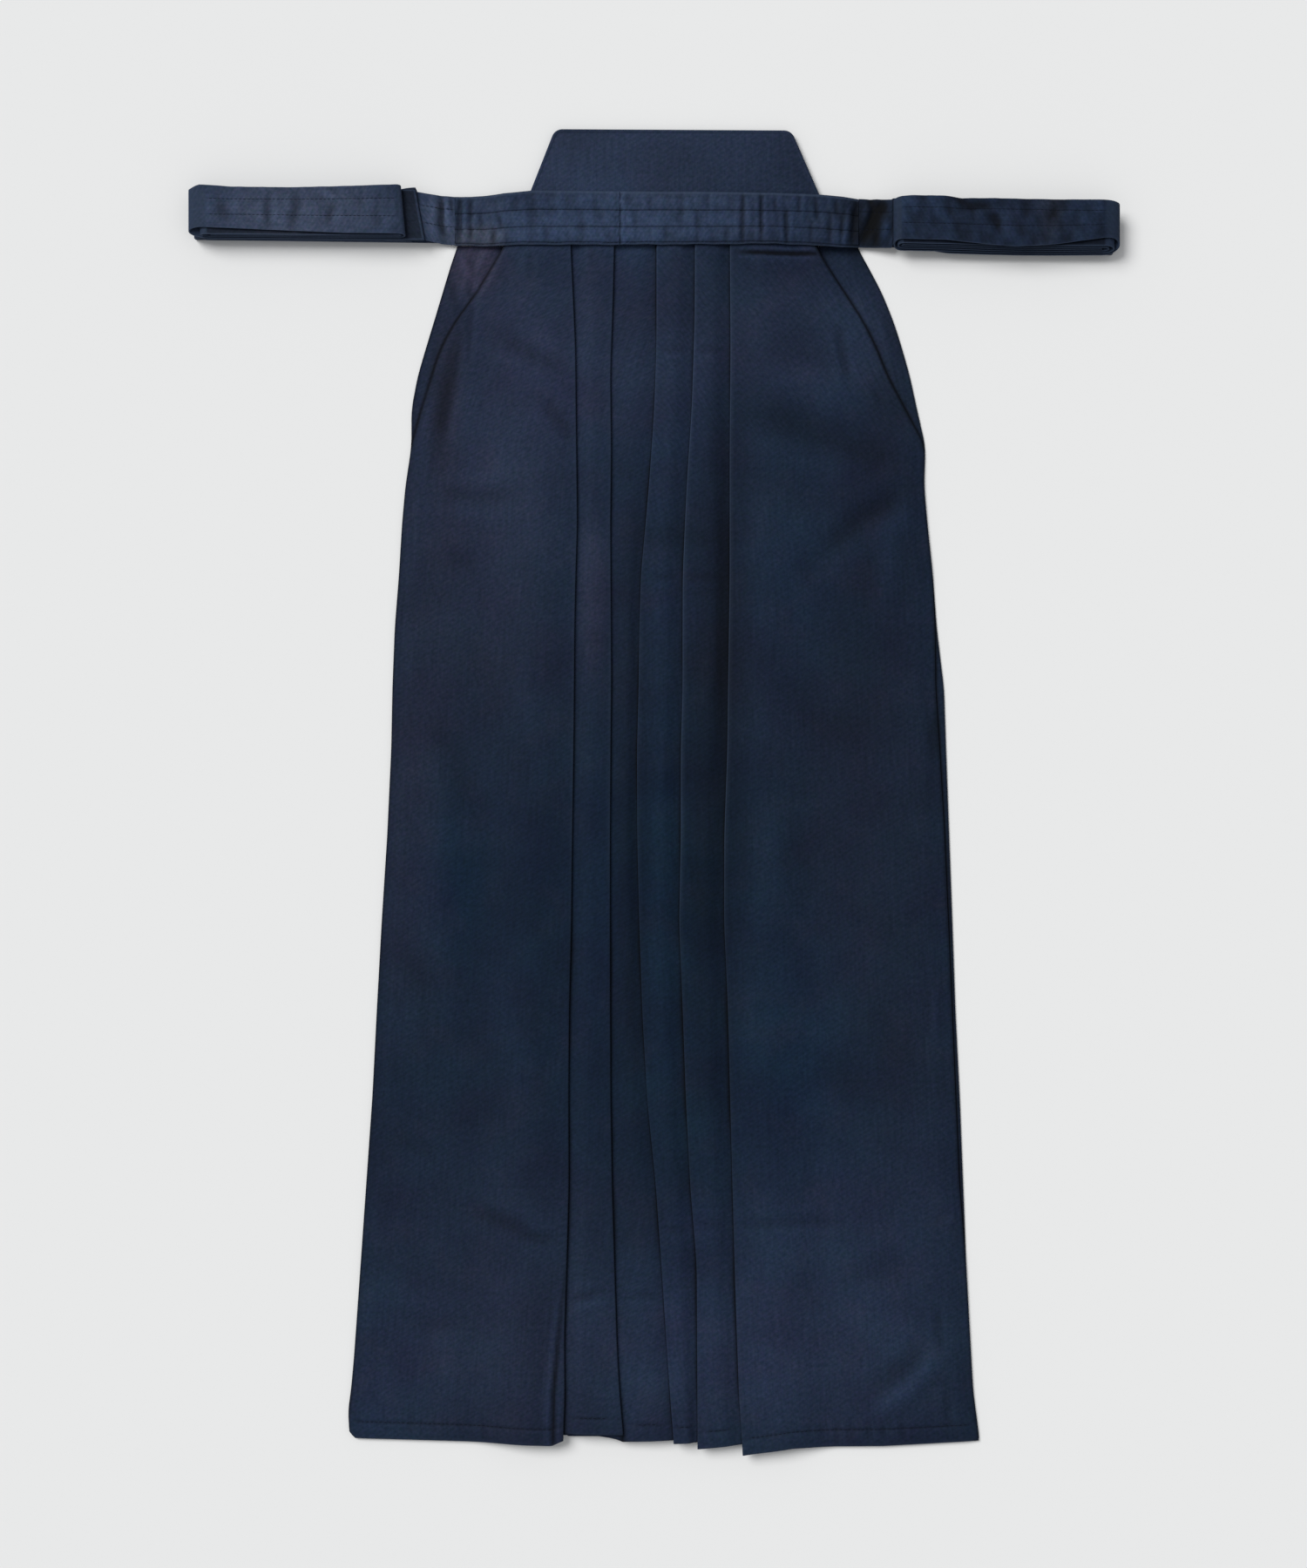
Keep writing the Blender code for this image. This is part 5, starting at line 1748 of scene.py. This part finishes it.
@dataclass
class Stitching:
    """Rows of machine stitches, each stitch the same small bead of thread."""

    name: str
    lines: list[np.ndarray]
    pitch: float = 3.0
    length: float = 2.3
    width: float = 0.5
    height: float = 0.34

    def bead(self) -> tuple[np.ndarray, list[tuple[int, ...]]]:
        """Models one stitch.

        Returns:
            Its points and its faces, its length along X.
        """
        select_nothing()
        bpy.ops.mesh.primitive_uv_sphere_add(segments=6, ring_count=4, radius=0.5)
        bead = bpy.context.object
        bpy.ops.object.mode_set(mode="EDIT")
        bpy.ops.mesh.select_all(action="SELECT")
        bpy.ops.transform.resize(value=(self.width, self.height, self.length))
        bpy.ops.object.mode_set(mode="OBJECT")
        points = np.array([vertex.co[:] for vertex in bead.data.vertices])[:, [2, 0, 1]]
        faces = [tuple(face.vertices) for face in bead.data.polygons]
        bpy.data.objects.remove(bead, do_unlink=True)
        return points, faces

    def built(self) -> bpy.types.Object:
        """Lays the stitches along their lines.

        Returns:
            All of them, as one piece.
        """
        bead, bead_faces = self.bead()
        points: list[np.ndarray] = []
        faces: list[tuple[int, ...]] = []
        for line in self.lines:
            walked = path_length(line[:, :3])
            count = int((walked[-1] - 1.0) / self.pitch)
            for index in range(count):
                at = 0.5 * (walked[-1] - (count - 1) * self.pitch) + index * self.pitch
                place, up, ahead = (
                    np.array([np.interp(at + step, walked, line[:, column + axis]) for axis in range(3)])
                    for step, column in ((0.0, 0), (0.0, 3), (0.6, 0))
                )
                behind = np.array([np.interp(at - 0.6, walked, line[:, axis]) for axis in range(3)])
                along = (ahead - behind) / max(np.linalg.norm(ahead - behind), 1e-9)
                side = np.cross(up, along)
                side /= max(np.linalg.norm(side), 1e-9)
                rise = np.cross(along, side)
                base = sum(len(part) for part in points)
                sway = 1 + 0.08 * math.sin(index * 2.4)
                seat = place + rise * 0.06
                points.append(
                    seat + bead[:, :1] * along * sway + bead[:, 1:2] * side + bead[:, 2:3] * rise
                )
                faces += [tuple(base + corner for corner in face) for face in bead_faces]
        mesh = bpy.data.meshes.new(self.name)
        mesh.from_pydata((np.concatenate(points) * MM).tolist(), [], faces)
        mesh.update()
        piece = bpy.data.objects.new(self.name, mesh)
        bpy.context.scene.collection.objects.link(piece)
        select_nothing()
        piece.select_set(True)
        bpy.context.view_layer.objects.active = piece
        bpy.ops.object.mode_set(mode="EDIT")
        bpy.ops.mesh.select_all(action="SELECT")
        bpy.ops.mesh.normals_make_consistent(inside=False)
        bpy.ops.object.mode_set(mode="OBJECT")
        bpy.ops.object.shade_smooth()
        return piece


@dataclass
class Studio:
    """Pale floor, soft light from the left and the camera straight above."""

    camera_place: Triple = (-0.0003, 0.0056, 1.9)
    view_angle: float = 34.8
    floor_size: float = 14.0

    def built(self) -> None:
        """Builds the floor, the lights and the camera."""
        select_nothing()
        bpy.ops.mesh.primitive_plane_add(size=self.floor_size, location=(0, 0, 0))
        floor = bpy.context.object
        floor.name = floor.data.name = "studio_floor"
        floor.data.materials.append(FloorFinish().made())
        self.light("key_window", 140.0, 45.0, 34.0, 2.5)
        world = bpy.data.worlds.new("studio_air")
        bpy.context.scene.world = world
        world.use_nodes = True
        world.node_tree.nodes["Background"].inputs["Color"].default_value = srgb("#f2f4f7")
        world.node_tree.nodes["Background"].inputs["Strength"].default_value = 0.46
        lens = bpy.data.cameras.new("overhead_camera")
        lens.sensor_width = 36.0
        lens.lens = 18.0 / math.tan(math.radians(self.view_angle / 2))
        camera = bpy.data.objects.new("overhead_camera", lens)
        camera.location = self.camera_place
        bpy.context.scene.collection.objects.link(camera)
        bpy.context.scene.camera = camera
        bpy.context.scene.view_settings.view_transform = "Standard"

    @staticmethod
    def light(name: str, heading: float, height: float, softness: float, power: float) -> None:
        """Adds an even soft light, as from a large window far away.

        Args:
            name: Name of the light.
            heading: Where it stands, in degrees from +X toward +Y.
            height: Degrees above the floor.
            softness: How wide it looks, in degrees.
            power: Its strength.
        """
        data = bpy.data.lights.new(name, "SUN")
        data.angle = math.radians(softness)
        data.energy = power
        turn, rise = math.radians(heading), math.radians(height)
        place = Vector((math.cos(turn) * math.cos(rise), math.sin(turn) * math.cos(rise), math.sin(rise)))
        lamp = bpy.data.objects.new(name, data)
        lamp.location = place * 2
        lamp.rotation_mode = "QUATERNION"
        lamp.rotation_quaternion = (-place).to_track_quat("-Z", "Y")
        bpy.context.scene.collection.objects.link(lamp)


# The cloth pieces, each with the CAD nodes that it stands for
FRONT_PANELS = (
    (
        FrontPanel(
            "front_left", 1.0, "front_left", ("fold_1", "fold_2"), seam_shift=3.35,
            hems=(HEM_MAIN_LEFT, HEM_STRIP_LEFT, HEM_CENTRE),
            flat=(0.35, 0.918), area=0.25, rest_count=30, shift=0.0,
        ),
        "front_panel_left",
    ),
    (
        FrontPanel(
            "front_right", -1.0, "front_right", ("fold_5", "fold_4", "fold_3"), seam_shift=3.65,
            hems=(HEM_MAIN_RIGHT, HEM_STRIP_4, HEM_STRIP_3, HEM_CENTRE),
            flat=(0.335, 0.925), area=0.286, rest_count=38, shift=2.1,
            gap_reach=1.1, gap_dark=0.8, gap_shadow=0.16, rubbed_and_highlight=(0.3, 0.3, 0.12),
        ),
        "front_panel_right",
    ),
)
BACK_PANELS = (
    (
        BackPanel("back_left", 1.0, "back_left", flat=(0.31, 0.903), area=0.254, shift=0.7),
        "back_panel_left",
    ),
    (
        BackPanel("back_right", -1.0, "back_right", flat=(0.312, 0.905), area=0.257, shift=3.0),
        "back_panel_right",
    ),
)
GUSSETS = (
    (Gusset("gusset_of_left_leg", 1.0, flat=(0.166, 0.432), area=0.039), "gusset_left"),
    (Gusset("gusset_of_right_leg", -1.0, flat=(0.143, 0.432), area=0.042), "gusset_right"),
)
FRONT_STRAPS = (
    (
        FrontStrap(
            "strap_left",
            run=((-150.8, 432.3, 2.2), (-160.0, 433.0, 2.6), (-168.0, 434.0, 4.8), (-177.0, 435.3, 7.2)),
            levels=(0, 1, 2, 6, 3, 5, 4),
            turns=(-339.0, -177.1, -350.2, -189.4, -341.5, -192.0),
            free_end=-334.0,
            middle=(437.4, 437.8),
            middle_at=(-177.4, -351.5),
            shifts=(-3.4, -3.0, -2.5, -1.5, -0.9, -0.4, 0.0),
            upper_edge=(
                (-351.0, -2.2), (-343.0, 1.0), (-318.0, -1.0), (-272.0, -1.4), (-232.0, -0.3), (-190.0, 1.3),
            ),
            lower_edge=(
                (-351.0, 6.5), (-333.0, 5.0), (-298.0, 3.6), (-279.0, 2.8), (-232.0, 1.0), (-190.0, 0.7),
            ),
            creases=(
                (((-291.0, 452.0), (-290.0, 424.0)), 3.0, -0.5),
                (((-268.0, 450.0), (-272.0, 424.0)), 4.0, -0.45),
                (((-250.0, 452.0), (-238.0, 444.0)), 2.4, 0.5),
                (((-241.0, 441.0), (-246.0, 428.0)), 3.0, -0.45),
                (((-326.0, 446.0), (-322.0, 430.0)), 5.0, -0.35),
                (((-210.0, 440.0), (-206.0, 423.0)), 3.0, -0.4),
                (((-206.0, 452.0), (-207.0, 443.0)), 2.2, -0.3),
                (((-160.5, 451.0), (-161.5, 431.0), (-158.0, 417.0)), 3.0, -1.1),
                (((-154.0, 450.0), (-153.5, 438.0)), 2.0, -0.7),
                (((-156.8, 449.0), (-156.0, 430.0)), 1.8, 0.5),
            ),
            flat=(0.0365, 1.134),
            reaches=(1.5, 1.5, 14.0, 4.0, 5.5, 1.5),
            skew=3.4,
        ),
        ("front_strap_left", "front_strap_roll_left"),
    ),
    (
        FrontStrap(
            "strap_right",
            run=((155.2, 430.7, 2.8), (163.0, 430.2, 3.0), (171.0, 429.8, 5.0), (181.0, 429.3, 7.2)),
            levels=(0, 6, 1, 5, 2, 4, 3),
            turns=(350.9, 181.2, 347.0, 184.2, 343.0, 187.2),
            free_end=338.0,
            middle=(432.4, 429.6),
            middle_at=(181.0, 351.5),
            shifts=(-6.8, -5.6, -4.4, -3.3, -2.3, -1.2, 0.0),
            upper_edge=(
                (181.0, -3.0), (195.0, -1.8), (220.0, -1.8), (232.0, -3.4), (258.0, -3.2), (295.0, -3.4),
                (350.0, -2.6),
            ),
            lower_edge=(
                (181.0, 2.0), (220.0, 1.6), (250.0, -1.2), (273.0, -2.6), (302.0, -0.4), (338.0, 5.0),
                (350.0, 7.0),
            ),
            creases=(
                (((222.0, 449.0), (238.0, 441.0), (256.0, 442.0)), 3.2, -0.8),
                (((226.0, 437.0), (250.0, 440.0)), 3.4, -0.5),
                (((262.0, 448.0), (248.0, 442.0)), 3.0, 0.4),
                (((296.0, 446.0), (284.0, 432.0), (280.0, 420.0)), 5.0, 0.35),
                (((250.0, 437.0), (262.0, 424.0)), 4.0, -0.6),
                (((213.0, 441.0), (222.0, 427.0)), 2.6, 0.5),
                (((265.0, 427.0), (268.0, 416.0)), 3.2, 0.5),
                (((284.0, 428.0), (292.0, 419.0)), 3.4, 0.45),
                (((305.0, 444.0), (300.0, 430.0)), 5.0, -0.45),
                (((316.0, 425.0), (320.0, 415.0)), 3.0, 0.4),
                (((176.0, 447.0), (168.0, 436.0), (158.5, 416.0)), 4.0, -1.5),
                (((163.0, 443.0), (160.0, 432.0)), 2.2, 0.8),
                (((177.0, 431.0), (174.0, 418.0)), 2.6, 0.9),
                (((170.0, 424.0), (167.0, 414.0)), 2.4, -0.9),
                (((163.5, 449.0), (166.0, 440.0)), 2.2, -0.8),
            ),
            flat=(0.0365, 1.172),
            reaches=(12.0, 6.0, 8.0, 4.5, 4.0, 1.5),
            skew=0.0,
            blend=45.0,
            crumple_shade=0.34,
            groove_dark=0.35,
        ),
        ("front_strap_right", "front_strap_roll_right"),
    ),
)
BACK_STRAPS = (
    (
        BackStrap(
            "back_strap_left_band", start=(-109.6, -95.9), turn=-347.5, near=-184.0, end=-188.0,
            middle=(433.0, 436.2), flat=(0.035, 0.734),
        ),
        "back_strap_left",
    ),
    (
        BackStrap(
            "back_strap_right_band", start=(142.2, 127.0), turn=347.0, near=188.0, end=193.0,
            middle=(432.2, 424.6), flat=(0.035, 0.687),
        ),
        "back_strap_right",
    ),
)


def dressed(
    piece: bpy.types.Object, material: bpy.types.Material, slot: Slot, *nodes: str
) -> bpy.types.Object:
    """Gives a piece its material and its place in the part.

    Args:
        piece: The new piece.
        material: Its finish.
        slot: The record's slot; not used.
        nodes: CAD nodes that it stands for.

    Returns:
        The piece.
    """
    piece.data.materials.clear()
    piece.data.materials.append(material)
    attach(piece, "root")
    if nodes:
        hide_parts(*nodes)
    LOG.info("%s: %d faces", piece.name, len(piece.data.polygons))
    return piece


def main() -> None:
    """Builds the garment piece by piece, then the studio."""
    logging.basicConfig(level=logging.INFO, format="%(name)s: %(message)s")
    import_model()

    twill = TwillFinish("navy_twill").made()
    strap_twill = TwillFinish(
        "strap_twill", deep="#172135", navy="#1d2b40", plum="#2d3341", roughness=0.74
    ).made()
    board_twill = TwillFinish(
        "board_twill", deep="#192335", navy="#1e2c40", plum="#272b40", roughness=0.74
    ).made()
    thread = ThreadFinish().made()
    hem_lines: list[np.ndarray] = []

    for panel, node in FRONT_PANELS:
        lay = panel.lay()
        piece = dressed(cloth_sheet(panel.name, lay, CLOTH_WALL), twill, Slot.TROUSER, node)
        hem_lines += panel.hem_line(lay)

    for panel, node in BACK_PANELS:
        piece = dressed(cloth_sheet(panel.name, panel.lay(), CLOTH_WALL), twill, Slot.TROUSER, node)

    for gusset, node in GUSSETS:
        piece = dressed(cloth_sheet(gusset.name, gusset.lay(), CLOTH_WALL), twill, Slot.TROUSER, node)

    band = Waistband()
    band_lay = band.lay()
    piece = dressed(cloth_sheet(band.name, band_lay, CLOTH_WALL), strap_twill, Slot.STRAP, "front_waistband")
    band_lines = [band.stitch_line(band_lay, share) for share in BAND_STITCHES]

    dressed(BackBoard().built(), board_twill, Slot.BOARD, "back_board")

    strap_lines: list[np.ndarray] = []
    for strap, nodes in FRONT_STRAPS:
        lay = strap.lay()
        piece = dressed(cloth_sheet(strap.name, lay, STRAP_WALL), strap_twill, Slot.STRAP, *nodes)
        strap_lines += strap.stitch_lines(lay)

    for strap, node in BACK_STRAPS:
        piece = dressed(cloth_sheet(strap.name, strap.lay(), STRAP_WALL), strap_twill, Slot.STRAP, node)

    for name, lines, pitch, slot in (
        ("band_stitching", band_lines, 3.0, Slot.STRAP),
        ("strap_stitching", strap_lines, 3.2, Slot.STRAP),
        ("hem_stitching", hem_lines, 3.4, Slot.TROUSER),
    ):
        dressed(Stitching(name, lines, pitch).built(), thread, slot)

    Studio().built()


if __name__ == "__main__":
    main()
